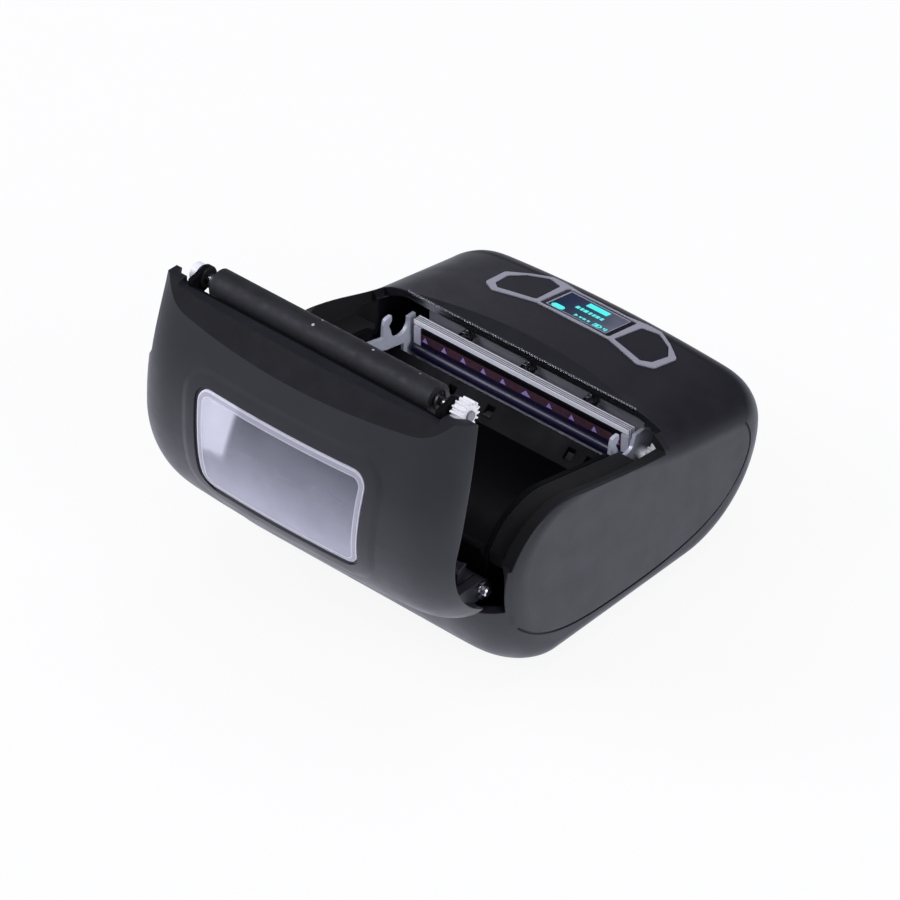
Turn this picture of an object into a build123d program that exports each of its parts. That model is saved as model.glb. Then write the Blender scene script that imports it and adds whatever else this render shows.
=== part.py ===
from build123d import *

import os
from math import acos, atan2, cos, degrees, pi, radians, sin, sqrt, tan

os.makedirs("parts", exist_ok=True)

# Overall size of the casing
WIDTH = 118.4
LENGTH = 126.5
HINGE_HEIGHT = 34.7
HINGE_INSET = 6.75
CROWN_HEIGHT = 67.4
OPEN_ANGLE = 89.0

# The hinge axis is the datum: side profiles are drawn forward and up from it
HINGE_Y = HINGE_INSET - LENGTH / 2
HALF_WIDTH = WIDTH / 2
REAR = -HINGE_INSET
FRONT = LENGTH - HINGE_INSET
BASE = -HINGE_HEIGHT
CROWN = CROWN_HEIGHT - HINGE_HEIGHT

# Side profile of the casing: elliptical ends joined by a crowned top and a flat base
REAR_MID_Z = 2.1
REAR_UPPER_LENGTH = 33.4
REAR_LOWER_LENGTH = 28.6
FRONT_MID_Z = -0.5
FRONT_UPPER_LENGTH = 9.5
FRONT_LOWER_LENGTH = 39.8
PANEL_REAR_Y = 76.0
PANEL_REAR_Z = 21.5
PANEL_SLOPE = 10.2
CROWN_HANDLE = 23.0
PANEL_HANDLE = 14.8

# Places across the width that others are measured from
DRIVE_ROOM = 17.7
HEAD_HALF = HALF_WIDTH - DRIVE_ROOM
PLATE_STANDOFF = 1.7
PLATE_THICKNESS = 1.2
SIDE_PLATE_X = HEAD_HALF + PLATE_STANDOFF

# How the profile draws in towards the sides
EDGE_REACH = 15.8
EDGE_DEPTH = 8.5
REAR_CORNER_REACH = 21.0
REAR_CORNER_DEPTH = 5.9
FRONT_CORNER_REACH = 19.0
FRONT_CORNER_DEPTH = 4.8
NOSE_DRAW = 0.45
CROSS_CROWN = 4.4
CROSS_CROWN_SPAN = 60.0

# Shell and the seam between case and cover
WALL = 2.4
SEAM_GAP = 0.3
SEAM_Y = 24.2
SEAM_Z = -1.7
SEAM_RADIUS = 23.9
SEAM_SLOPE = 12.0
SWEEP_RADIUS = 9.15
MOUTH_Y = 68.95
COVER_BEAM_REAR = 56.5
COVER_BEAM_BOTTOM = 17.0
COVER_FACET_RISE = 0.72
COVER_FACET_Z = 20.0
COVER_FACET_CROWN = 2.2
CORNER_REAR = 63.0
CORNER_BOTTOM = 15.4
SLOT_RECESS = 1.6
SLOT_END_X = HALF_WIDTH - 10.2
CASE_BEAM_DEPTH = 7.3
CASE_BEAM_BOTTOM = 17.4
CASE_FACET_RISE = 0.2
CASE_FACET_Z = 19.9
GROOVE_DEPTH = 0.45
GROOVE_WIDTH = 0.7

# Shoulder on the case's left side, which the cover is cut back for
SHOULDER_X = HALF_WIDTH - 4.0
SHOULDER_REAR = 40.5
SHOULDER_ROUND = 5.5
SHOULDER_TOP = 24.0

# Cutter strip ahead of the paper slot
TEAR_MARGIN = 2.5
TEAR_HALF = HEAD_HALF + TEAR_MARGIN
BEAM_MARGIN = 2.0
BEAM_HALF = TEAR_HALF + BEAM_MARGIN
TEAR_Y = 72.2
TEAR_THICKNESS = 0.5
TEAR_BOTTOM = 17.6
TEAR_ROOT = 19.9
TEAR_TIP = 20.6
TEAR_PITCH = 1.0

# Paper bay
ROLL_Y = 33.2
ROLL_RADIUS = 27.0
BIN_WALL = 1.6
BIN_MARGIN = 3.5
BIN_HALF = HEAD_HALF + BIN_MARGIN
BIN_CLEARANCE = 1.0
BAND_DROP = 2.4
BAND_WALL = 1.6
BAND_FRONT_Y = 61.5
BAND_BITE = 0.7
BAND_OUTER_X = HALF_WIDTH - WALL + BAND_BITE
SIDE_WALL_FRONT_Y = 58.0
LEDGE_Z = -2.1
RAMP_RISE = 5.2
RAMP_RUN = 6.4
LIP_RADIUS = 1.3
LIP_Z = 9.0
SLOT_SIZE = 3.0
SLOT_PLACES = (-19.0, -4.0, BIN_HALF - 18, BIN_HALF - 11, BIN_HALF - 4)
CRADLE_X = 26.0
CRADLE_WIDTH = 2.0

# Hinge
PIN_RADIUS = 1.5
PIN_FIT = 0.03
PIN_OVERHANG = 1.5
BOSS_RADIUS = 3.1
LUG_INSET = 18.4
LUG_INNER_X = HALF_WIDTH - LUG_INSET
LUG_WIDTH = 4.6
ARM_WIDTH = 3.2
SIDE_PLAY = 0.4
ARM_X = LUG_INNER_X + LUG_WIDTH + SIDE_PLAY
NOTCH_WALL = 2.3
NOTCH_END_X = HALF_WIDTH - NOTCH_WALL
NOTCH_DEPTH = 5.0
CLIP_THICKNESS = 0.7
CLIP_RADIUS = 2.8
PIN_END_X = ARM_X + ARM_WIDTH + SIDE_PLAY + CLIP_THICKNESS + PIN_OVERHANG

# Window in the cover
WINDOW_REAR_Y = 14.6
WINDOW_FRONT_Y = 47.4
WINDOW_REAR_INSET = 29.7
WINDOW_FRONT_INSET = 27.0
WINDOW_REAR_HALF = HALF_WIDTH - WINDOW_REAR_INSET
WINDOW_FRONT_HALF = HALF_WIDTH - WINDOW_FRONT_INSET
WINDOW_CORNER = 5.0
WINDOW_GAP = 0.25
PANE_THICKNESS = 1.6
RIM_WIDTH = 2.0
TRAY_DEPTH = 4.4
FLANGE_WIDTH = 2.2

# Platen
PLATEN_Y = 67.4
PLATEN_Z = 10.4
PLATEN_RADIUS = 4.6
ROLLER_MARGIN = 0.5
PLATEN_HALF = HEAD_HALF - ROLLER_MARGIN
SHAFT_RADIUS = 2.0
JOURNAL_RADIUS = 1.6
JOURNAL_FIT = 0.04
CHEEK_GAP = 1.2
CHEEK_X = SIDE_PLATE_X + PLATE_THICKNESS + CHEEK_GAP
CHEEK_WIDTH = 1.6
CHEEK_RADIUS = 3.4
BUSH_RADIUS = 2.6
CHEEK_CLIP_GAP = 2.9
FIN_PITCH = 6.0
FIN_COUNT = 13
FRAME_DEPTH = 9.4

# Gears, all of one module
MODULE = 0.5
PRESSURE_ANGLE = 20.0
BACKLASH = 0.12
GEAR_GAP = 1.3
GEAR_X = CHEEK_X + CHEEK_WIDTH + GEAR_GAP
GEAR_WIDTH = 4.0
PLATEN_TEETH = 15
DRIVE_TEETH = 18
IDLER_TEETH = 32
PINION_TEETH = 10
PLATEN_CENTRES = 9.4
DRIVE_ANGLE = -43.5
PINION_ANGLE = -9.6
STUD_RADIUS = 1.5
STUD_HEAD_RADIUS = 2.3
GEAR_FIT = 0.04

# Print head and the frame that carries it
HEAD_Y = 72.4
BOARD_THICKNESS = 0.8
BOARD_BOTTOM = 2.5
BOARD_TOP = 8.6
SINK_THICKNESS = 2.0
RAIL_BOTTOM = 9.4
RAIL_TOP = 10.9
HEAD_COVER_RADIUS = 2.0
HEAD_COVER_Z = 0.5
SPRING_LENGTH = 4.2
SPRING_PLACES = (-25.0, -1.0, 23.0)
SPRING_RADIUS = 1.8
SPRING_WIRE = 0.5
SPRING_TURNS = 3.5
SPRING_Z = 9.9
BRACKET_DEPTH = 3.0
BRACKET_TOP = 12.0
DECK_TOP = -7.0
DECK_THICKNESS = 3.0
DECK_REAR_Y = 62.4
DECK_FRONT_Y = 84.5
SEAT = 0.2
DECK_HALF = SIDE_PLATE_X - SEAT

# Feed motor
MOTOR_RADIUS = 7.5
MOTOR_LENGTH = 12.8
MOTOR_SHAFT_RADIUS = 1.0

# Control panel, with distances forward taken down its slope
BEZEL_PROUD = 0.35
BEZEL_DEPTH = 1.2
PANEL_FIT = 0.15
KEY_GAP = 0.25
KEY_DEPTH = 2.7
KEY_FLANGE = 1.0
KEY_TRAVEL = 0.6
KEY_STEM_RADIUS = 1.4
BOARD_DEPTH = 9.0
CARD_THICKNESS = 1.2
CARD_HALF = 38.0
CARD_REAR = 16.0
CARD_FRONT = 35.0
SWITCH_SIZE = 4.6
SWITCH_HEIGHT = 2.0
SWITCH_TOP = 0.7
KEY_CENTRE = (23.0, 28.5)
SCREEN_HALF = 13.2
SCREEN_REAR = 20.8
SCREEN_FRONT = 34.4
DISPLAY_HALF = 11.6
DISPLAY_REAR = 21.6
DISPLAY_FRONT = 33.6

# Base plate, battery, main board and socket
PLATE_INSET = 18.7
PLATE_HALF = HALF_WIDTH - PLATE_INSET
PLATE_REAR_Y = 50.5
PLATE_FRONT_Y = 79.5
PLATE_DEPTH = 1.2
PLATE_PROUD = 0.01
PLATE_CORNER = 3.0
PLATE_FIT = 0.15
HATCH_MARGIN = 7.5
HATCH_HALF = PLATE_HALF - HATCH_MARGIN
HATCH_REAR_Y = 57.5
HATCH_FRONT_Y = 73.0
SCREW_MARGIN = 3.5
SCREW_X = PLATE_HALF - SCREW_MARGIN
SCREW_REAR_Y = 54.5
SCREW_FRONT_Y = 75.5
SCREW_RADIUS = 1.0
SCREW_HEAD_RADIUS = 1.9
SCREW_FIT = 0.05
BATTERY_PLAY = 2.0
BATTERY_HALF = HATCH_HALF - BATTERY_PLAY
BATTERY_REAR_Y = 63.5
BATTERY_FRONT_Y = 88.0
BATTERY_BOTTOM = -31.2
BATTERY_HEIGHT = 19.0
SOCKET_END = 6.2
MAIN_BOARD_LEFT = SOCKET_END - HALF_WIDTH
MOTOR_CLEARANCE = 6.4
MAIN_BOARD_RIGHT = SIDE_PLATE_X - MOTOR_LENGTH - MOTOR_CLEARANCE
MAIN_BOARD_REAR_Y = 88.5
MAIN_BOARD_FRONT_Y = 106.0
MAIN_BOARD_TOP = -7.9
MAIN_BOARD_THICKNESS = 1.6
POST_RADIUS = 2.5
POST_MARGIN = 3.5
POST_X = HEAD_HALF - POST_MARGIN
POST_REAR_Y = 66.0
POST_FRONT_Y = 77.3
SOCKET_Y = 96.0
SOCKET_WIDTH = 9.0
SOCKET_HEIGHT = 3.3
SOCKET_LENGTH = 7.4
SOCKET_FIT = 0.2

# Height of the roll axis and places that follow from the sizes above
ROLL_Z = BASE + WALL + BIN_CLEARANCE + BIN_WALL + ROLL_RADIUS
BIN_REAR_Y = ROLL_Y - ROLL_RADIUS - BIN_WALL
BIN_FRONT_Y = ROLL_Y + ROLL_RADIUS
BIN_OUTER_X = BIN_HALF + BIN_WALL
TEAR_SEAT_Y = TEAR_Y + TEAR_THICKNESS
SINK_Y = HEAD_Y + BOARD_THICKNESS
SINK_BACK_Y = SINK_Y + SINK_THICKNESS
BRACKET_Y = SINK_BACK_Y + SPRING_LENGTH
SHAFT_LEFT = -CHEEK_X - CHEEK_WIDTH - 3.2
SHAFT_RIGHT = GEAR_X + GEAR_WIDTH + 0.7
SLOT_HALF = SHAFT_RIGHT + SEAM_GAP
DRIVE_Y = PLATEN_Y + PLATEN_CENTRES * cos(radians(DRIVE_ANGLE))
DRIVE_Z = PLATEN_Z + PLATEN_CENTRES * sin(radians(DRIVE_ANGLE))
IDLER_CENTRES = MODULE * (DRIVE_TEETH + IDLER_TEETH) / 2
IDLER_Y = DRIVE_Y + IDLER_CENTRES * cos(radians(DRIVE_ANGLE))
IDLER_Z = DRIVE_Z + IDLER_CENTRES * sin(radians(DRIVE_ANGLE))
PINION_CENTRES = MODULE * (PINION_TEETH + IDLER_TEETH) / 2
MOTOR_Y = IDLER_Y + PINION_CENTRES * cos(radians(PINION_ANGLE))
MOTOR_Z = IDLER_Z + PINION_CENTRES * sin(radians(PINION_ANGLE))


def side_plane(x, turn=0.0):
    """Plane across the printer at x, drawn forward and up from the hinge axis, turned by the hinge."""
    forward = (0, cos(radians(turn)), sin(radians(turn)))
    return Plane(origin=(x, HINGE_Y, HINGE_HEIGHT), x_dir=forward, z_dir=(1, 0, 0))


def level_plane(z, turn=0.0):
    """Level plane z above the hinge axis, with y measured from that axis, turned by the hinge."""
    up = Vector(0, -sin(radians(turn)), cos(radians(turn)))
    return Plane(origin=Vector(0, HINGE_Y, HINGE_HEIGHT) + up * z, x_dir=(1, 0, 0), z_dir=up)


def front_plane(y, turn=0.0):
    """Upright plane y ahead of the hinge axis, facing the rear, turned by the hinge."""
    forward = Vector(0, cos(radians(turn)), sin(radians(turn)))
    return Plane(origin=Vector(0, HINGE_Y, HINGE_HEIGHT) + forward * y, x_dir=(1, 0, 0), z_dir=forward * -1)


def panel_face(height=0.0):
    """Plane lying on the control panel's slope, raised off it by a height."""
    tilt = radians(PANEL_SLOPE)
    normal = Vector(0, sin(tilt), cos(tilt))
    corner = Vector(0, HINGE_Y + PANEL_REAR_Y, HINGE_HEIGHT + PANEL_REAR_Z)
    return Plane(origin=corner + normal * height, x_dir=(1, 0, 0), z_dir=normal)


def ease(x, half, reach):
    """Elliptical draw-in, from 0 at the start of the rounding to 1 at the side face."""
    share = min(1.0, max(0.0, (abs(x) - half + reach) / reach))
    return 1 - sqrt(1 - share * share)


def stations(half):
    """Places across the width where the casing's section is drawn, closer towards the sides."""
    start = half - REAR_CORNER_REACH
    right = [0.0, start / 2, start, start + REAR_CORNER_REACH / 10, start + REAR_CORNER_REACH / 5]
    right += [start + REAR_CORNER_REACH * sin(radians(15 * k)) for k in range(2, 7)]
    return [-x for x in reversed(right[1:])] + right


def casing_section(x, wall):
    """Outline of the casing at x, moved in by wall on every side."""
    half = HALF_WIDTH - wall
    inset = wall + EDGE_DEPTH * ease(x, half, EDGE_REACH)
    rear_in = inset + REAR_CORNER_DEPTH * ease(x, half, REAR_CORNER_REACH)
    front_in = inset + FRONT_CORNER_DEPTH * ease(x, half, FRONT_CORNER_REACH)
    top_in = inset + CROSS_CROWN * (x / CROSS_CROWN_SPAN) ** 2
    rear_y = REAR + rear_in
    front_y = FRONT - front_in
    bottom = BASE + PLATE_PROUD + inset
    crown = CROWN - top_in
    upper_length = REAR + REAR_UPPER_LENGTH - rear_y
    lower_length = REAR + REAR_LOWER_LENGTH - rear_y
    nose = FRONT_UPPER_LENGTH - NOSE_DRAW * (front_in - wall)
    panel_end = front_y - nose
    slope = tan(radians(PANEL_SLOPE))
    panel_rear = (PANEL_REAR_Y, PANEL_REAR_Z - top_in)
    panel_front = (panel_end, panel_rear[1] - slope * (panel_end - PANEL_REAR_Y))
    crown_point = (rear_y + upper_length, crown)
    handle = (PANEL_REAR_Y - PANEL_HANDLE * cos(radians(PANEL_SLOPE)),
              panel_rear[1] + PANEL_HANDLE * sin(radians(PANEL_SLOPE)))
    front_foot = FRONT - FRONT_LOWER_LENGTH
    with BuildSketch(side_plane(x), mode=Mode.PRIVATE) as outline:
        with BuildLine():
            Line((rear_y + lower_length, bottom), (front_foot, bottom))
            EllipticalCenterArc((front_foot, FRONT_MID_Z), front_y - front_foot,
                                FRONT_MID_Z - bottom, start_angle=270, arc_size=90)
            EllipticalCenterArc((panel_end, FRONT_MID_Z), nose, panel_front[1] - FRONT_MID_Z,
                                start_angle=0, arc_size=90)
            Line(panel_front, panel_rear)
            Bezier(panel_rear, handle, (crown_point[0] + CROWN_HANDLE, crown), crown_point)
            EllipticalCenterArc((crown_point[0], REAR_MID_Z), upper_length, crown - REAR_MID_Z,
                                start_angle=90, arc_size=90)
            EllipticalCenterArc((rear_y + lower_length, REAR_MID_Z), lower_length,
                                REAR_MID_Z - bottom, start_angle=180, arc_size=90)
        make_face()
    return outline.sketch


def casing(wall):
    """Solid form of the casing, moved in by wall."""
    with BuildPart(mode=Mode.PRIVATE) as form:
        loft([casing_section(x, wall) for x in stations(HALF_WIDTH - wall)])
    return form.part


def seam_height(y, shift=0.0):
    """Height of the seam's straight front run at y, moved up square to itself by shift."""
    slope = radians(SEAM_SLOPE)
    radius = SEAM_RADIUS + shift
    return SEAM_Z + radius * cos(slope) - (y - SEAM_Y - radius * sin(slope)) * tan(slope)


def above_seam(shift, mouth, x=-HALF_WIDTH - 1):
    """Side view of all that lies above the seam and behind the mouth, the seam moved up by shift."""
    radius = SEAM_RADIUS + shift
    sweep = SWEEP_RADIUS + shift
    reach = sqrt(SEAM_Y ** 2 + SEAM_Z ** 2)
    along = (sweep ** 2 + reach ** 2 - radius ** 2) / (2 * reach)
    across = sqrt(sweep ** 2 - along ** 2)
    meet = ((along * SEAM_Y - across * SEAM_Z) / reach, (along * SEAM_Z + across * SEAM_Y) / reach)
    meet_seam = degrees(atan2(meet[1] - SEAM_Z, meet[0] - SEAM_Y))
    meet_sweep = degrees(atan2(meet[1], meet[0]))
    rear = (sweep * cos(radians(150)), sweep * sin(radians(150)))
    with BuildSketch(side_plane(x), mode=Mode.PRIVATE) as zone:
        with BuildLine():
            start = Line((mouth, seam_height(mouth, shift)),
                         (SEAM_Y + radius * sin(radians(SEAM_SLOPE)),
                          SEAM_Z + radius * cos(radians(SEAM_SLOPE))))
            CenterArc((SEAM_Y, SEAM_Z), radius, 90 - SEAM_SLOPE, meet_seam - 90 + SEAM_SLOPE)
            CenterArc((0, 0), sweep, meet_sweep, 150 - meet_sweep)
            Polyline(rear, (-LENGTH, rear[1]), (-LENGTH, LENGTH), (mouth, LENGTH), start @ 0)
        make_face()
    return zone.sketch


def shoulder(gap, x, width):
    """Block from x over the left shoulder's side view, grown by gap, with a rounded rear end."""
    rear = SHOULDER_REAR - gap
    with BuildPart(mode=Mode.PRIVATE) as bar:
        with BuildSketch(side_plane(x)):
            with BuildLine():
                CenterArc((SHOULDER_REAR + SHOULDER_ROUND, SHOULDER_TOP - SHOULDER_ROUND),
                          SHOULDER_ROUND + gap, 90, 90)
                Polyline((rear, SHOULDER_TOP - SHOULDER_ROUND), (rear, 0), (TEAR_Y, 0), (TEAR_Y, CROWN),
                         (SHOULDER_REAR + SHOULDER_ROUND, CROWN),
                         (SHOULDER_REAR + SHOULDER_ROUND, SHOULDER_TOP + gap))
            make_face()
        extrude(amount=width)
    return bar.part


def side_band(x):
    """Band from x that runs beside the paper bay, a set drop under the seam."""
    with BuildPart(mode=Mode.PRIVATE) as band:
        with BuildSketch(side_plane(x)):
            with Locations(((BIN_REAR_Y + 1 + BAND_FRONT_Y) / 2, 0)):
                Rectangle(BAND_FRONT_Y - BIN_REAR_Y - 1, 2 * CROWN)
        extrude(amount=BAND_OUTER_X - BIN_OUTER_X - SEAM_GAP)
        extrude(above_seam(-BAND_DROP, LENGTH), amount=WIDTH + 2, mode=Mode.SUBTRACT)
        extrude(above_seam(-BAND_DROP - BAND_WALL, LENGTH), amount=WIDTH + 2, mode=Mode.INTERSECT)
    return band.part


def roof(top, bottom):
    """Slab that follows the crown above the window, between two depths below the surface."""
    sections = []
    for x in (-WINDOW_FRONT_HALF - 4, 0, WINDOW_FRONT_HALF + 4):
        drop = CROSS_CROWN * (x / CROSS_CROWN_SPAN) ** 2
        crown_y = REAR + REAR_UPPER_LENGTH
        crown = CROWN - drop
        handle = (PANEL_REAR_Y - PANEL_HANDLE * cos(radians(PANEL_SLOPE)),
                  PANEL_REAR_Z - drop + PANEL_HANDLE * sin(radians(PANEL_SLOPE)))
        rear_angle = 30
        with BuildSketch(side_plane(x), mode=Mode.PRIVATE) as section:
            with BuildLine():
                upper = Bezier((PANEL_REAR_Y, PANEL_REAR_Z - drop - top), (handle[0], handle[1] - top),
                               (crown_y + CROWN_HANDLE, crown - top), (crown_y, crown - top))
                rear = EllipticalCenterArc((crown_y, REAR_MID_Z), REAR_UPPER_LENGTH - top,
                                           crown - REAR_MID_Z - top, start_angle=90, arc_size=90 - rear_angle)
                under = EllipticalCenterArc((crown_y, REAR_MID_Z), REAR_UPPER_LENGTH - bottom,
                                            crown - REAR_MID_Z - bottom, start_angle=90,
                                            arc_size=90 - rear_angle)
                lower = Bezier((PANEL_REAR_Y, PANEL_REAR_Z - drop - bottom), (handle[0], handle[1] - bottom),
                               (crown_y + CROWN_HANDLE, crown - bottom), (crown_y, crown - bottom))
                Line(rear @ 1, under @ 1)
                Line(upper @ 0, lower @ 0)
            make_face()
        sections.append(section.sketch)
    with BuildPart(mode=Mode.PRIVATE) as slab:
        loft(sections)
    slab.part = slab.part.rotate(Axis((0, HINGE_Y, HINGE_HEIGHT), (1, 0, 0)), OPEN_ANGLE)
    return slab.part


def facet_slab():
    """Crowned slab above the facet along the cover's mouth, its face rising to the rear."""
    bend = HALF_WIDTH ** 2 / (2 * COVER_FACET_CROWN)
    sag = bend - sqrt(bend ** 2 - HALF_WIDTH ** 2)
    lean = atan2(COVER_FACET_RISE, 1)
    forward = Vector(0, cos(lean), -sin(lean))
    mouth = Vector(0, HINGE_Y + MOUTH_Y, HINGE_HEIGHT + COVER_FACET_Z) + forward * 2
    with BuildPart(mode=Mode.PRIVATE) as slab:
        with BuildSketch(Plane(origin=mouth, x_dir=(1, 0, 0), z_dir=forward * -1)):
            with BuildLine():
                face = ThreePointArc((-HALF_WIDTH, -sag), (0, 0), (HALF_WIDTH, -sag))
                Polyline(face @ 0, (-HALF_WIDTH, CROWN), (HALF_WIDTH, CROWN), face @ 1)
            make_face()
        extrude(amount=MOUTH_Y - WINDOW_FRONT_Y)
    return slab.part


def window_outline(grow):
    """Rounded outline of the cover's window, moved out by grow, seen from above."""
    corner = WINDOW_CORNER + grow
    with BuildSketch(level_plane(0, OPEN_ANGLE), mode=Mode.PRIVATE) as outline:
        with BuildLine():
            Polyline((-WINDOW_REAR_HALF - grow, WINDOW_REAR_Y - grow),
                     (WINDOW_REAR_HALF + grow, WINDOW_REAR_Y - grow),
                     (WINDOW_FRONT_HALF + grow, WINDOW_FRONT_Y + grow),
                     (-WINDOW_FRONT_HALF - grow, WINDOW_FRONT_Y + grow), close=True)
        make_face()
        fillet(outline.vertices(), corner)
    return outline.sketch


def panel_slab(top, bottom):
    """Slab that follows the crown of the control panel, between two heights off its surface."""
    bend = CROSS_CROWN_SPAN ** 2 / (2 * CROSS_CROWN)
    half = CARD_HALF + 3
    sag = bend - sqrt(bend ** 2 - half ** 2)
    tilt = radians(PANEL_SLOPE)
    corner = (0, HINGE_Y + PANEL_REAR_Y, HINGE_HEIGHT + PANEL_REAR_Z)
    with BuildPart(mode=Mode.PRIVATE) as slab:
        with BuildSketch(Plane(origin=corner, x_dir=(1, 0, 0), z_dir=(0, -cos(tilt), sin(tilt)))):
            with BuildLine():
                upper = ThreePointArc((-half, top - sag), (0, top), (half, top - sag))
                lower = ThreePointArc((-half, bottom - sag), (0, bottom), (half, bottom - sag))
                Line(upper @ 0, lower @ 0)
                Line(upper @ 1, lower @ 1)
            make_face()
        extrude(amount=-(FRONT - PANEL_REAR_Y))
    return slab.part


def bezel_outline(grow):
    """Outline of the control panel's bezel, moved out by grow."""
    right = [(0, 19.6), (13.7, 20.0), (28.0, 16.1), (32.6, 18.8), (33.2, 28.6), (26.8, 33.3),
             (20.9, 36.5), (16.0, 36.3), (9.0, 35.0), (0, 34.9)]
    left = [(-x, y) for x, y in reversed(right[1:-1])]
    with BuildSketch(panel_face(), mode=Mode.PRIVATE) as outline:
        with BuildLine():
            Polyline(*right, *left, close=True)
        make_face()
        corners = [v for v in outline.vertices() if abs(v.X) > SCREEN_HALF + 1]
        fillet(corners, 1.6)
        if grow:
            offset(amount=grow)
    return outline.sketch


def key_outline(side, grow=0.0):
    """Outline of the right (1) or left (-1) button, moved out by grow."""
    points = [(15.2, 21.4), (15.9, 33.3), (21.0, 34.9), (27.2, 31.6), (30.7, 27.2), (30.0, 20.7),
              (27.5, 18.6)]
    with BuildSketch(panel_face(), mode=Mode.PRIVATE) as outline:
        with BuildLine():
            Polyline(*[(side * x, y) for x, y in points], close=True)
        make_face()
        fillet(outline.vertices(), 0.8)
        if grow:
            offset(amount=grow)
    return outline.sketch


def screen_outline(half, rear, front, corner, height=0.0):
    """Rounded rectangle for the screen, on the panel's slope."""
    with BuildSketch(panel_face(height), mode=Mode.PRIVATE) as outline:
        with Locations((0, (rear + front) / 2)):
            RectangleRounded(2 * half, front - rear, corner)
    return outline.sketch


def hook_outline(x):
    """Upper part of a side plate: a hook and an open notch for the platen's journal."""
    top = PLATEN_Z + 5.1
    with BuildSketch(side_plane(x), mode=Mode.PRIVATE) as outline:
        with BuildLine():
            Polyline((55.2, 6.8), (54.8, 10.7), (60.9, 9.2), (61.3, top - 2.0), (61.9, top - 0.4),
                     (63.0, top), (76.0, top), (SINK_BACK_Y, 11.0), (SINK_BACK_Y, DECK_TOP - DECK_THICKNESS),
                     (69.5, DECK_TOP - DECK_THICKNESS), (69.9, 2.8), (62.6, 4.3), close=True)
        make_face()
        with BuildLine():
            Polyline((64.3, 10.2), (63.4, 12.4), (64.7, 13.7), (64.7, top + 1), (77.0, top + 1), (77.0, 11.0),
                     (72.1, 11.0), (72.1, 10.2), close=True)
        make_face(mode=Mode.SUBTRACT)
        with Locations((68.2, 10.2)):
            Circle(3.9, mode=Mode.SUBTRACT)
    return outline.sketch


def gear_outline(teeth, x, y, z, start, turn=0.0):
    """Toothed outline on the side plane at x, with a tooth at the start angle."""
    pitch = MODULE * teeth / 2
    base = pitch * cos(radians(PRESSURE_ANGLE))
    root = pitch - 1.25 * MODULE
    tip = pitch + MODULE
    half = pi / (2 * teeth) - BACKLASH / (4 * pitch) + tan(radians(PRESSURE_ANGLE)) - radians(PRESSURE_ANGLE)
    flank = []
    for radius in (root, pitch, tip):
        roll = acos(min(1.0, base / radius))
        flank.append((radius, half - tan(roll) + roll))
    points = []
    for tooth in range(teeth):
        centre = radians(start) + 2 * pi * tooth / teeth
        points += [(radius, centre - angle) for radius, angle in flank]
        points += [(radius, centre + angle) for radius, angle in reversed(flank)]
    with BuildSketch(side_plane(x, turn), mode=Mode.PRIVATE) as outline:
        with BuildLine():
            Polyline(*[(y + r * cos(a), z + r * sin(a)) for r, a in points], close=True)
        make_face()
    return outline.sketch


def disc(x, length, y, z, radius, turn=0.0):
    """Round bar along X from x."""
    with BuildPart(mode=Mode.PRIVATE) as bar:
        with BuildSketch(side_plane(x, turn)):
            with Locations((y, z)):
                Circle(radius)
        extrude(amount=length)
    return bar.part


def block(x, y, z, turn=0.0):
    """Square block between two places on each axis."""
    with BuildPart(mode=Mode.PRIVATE) as solid:
        with BuildSketch(side_plane(x[0], turn)):
            with Locations(((y[0] + y[1]) / 2, (z[0] + z[1]) / 2)):
                Rectangle(y[1] - y[0], z[1] - z[0])
        extrude(amount=x[1] - x[0])
    return solid.part


def spring_path(radius, turns, length):
    """Wire of a compression spring along local Z, its ends run straight for one wire width."""
    steps = 4 * int(round(turns))
    rise = length / steps
    lead = SPRING_WIRE

    def place(step):
        angle = pi / 2 * step
        return Vector(radius * cos(angle), radius * sin(angle), rise * step)

    def heading(step):
        angle = pi / 2 * step
        quarter = radius * pi / 2
        return Vector(-quarter * sin(angle), quarter * cos(angle), rise).normalized()

    arcs = [Line(place(0) - heading(0) * lead, place(0))]
    for step in range(steps):
        p, q = place(step), place(step + 1)
        t, u = heading(step), heading(step + 1)
        chord = q - p
        both = t + u
        share = 2 * (1 - t.dot(u))
        size = (-chord.dot(both) + sqrt(chord.dot(both) ** 2 + share * chord.dot(chord))) / share
        middle = (p + q + (t - u) * size) * 0.5
        arcs.append(TangentArc(p, middle, tangent=t))
        arcs.append(TangentArc(middle, q, tangent=arcs[-1] % 1))
    arcs.append(Line(place(steps), place(steps) + heading(steps) * lead))
    return Wire([edge for arc in arcs for edge in arc.edges()])


def least_spring_gap(radius, turns, length):
    """Least distance between neighbouring turns of the spring, less the wire, on points."""
    count = 240
    points = []
    for k in range(int(turns * count) + 1):
        angle = 2 * pi * k / count
        points.append((radius * cos(angle), radius * sin(angle), length * k / (turns * count)))
    least = length
    for i in range(0, len(points) - count // 2, 4):
        for j in range(i + count // 2, len(points), 4):
            least = min(least, sqrt(sum((a - b) ** 2 for a, b in zip(points[i], points[j]))))
    return least - SPRING_WIRE


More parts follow.
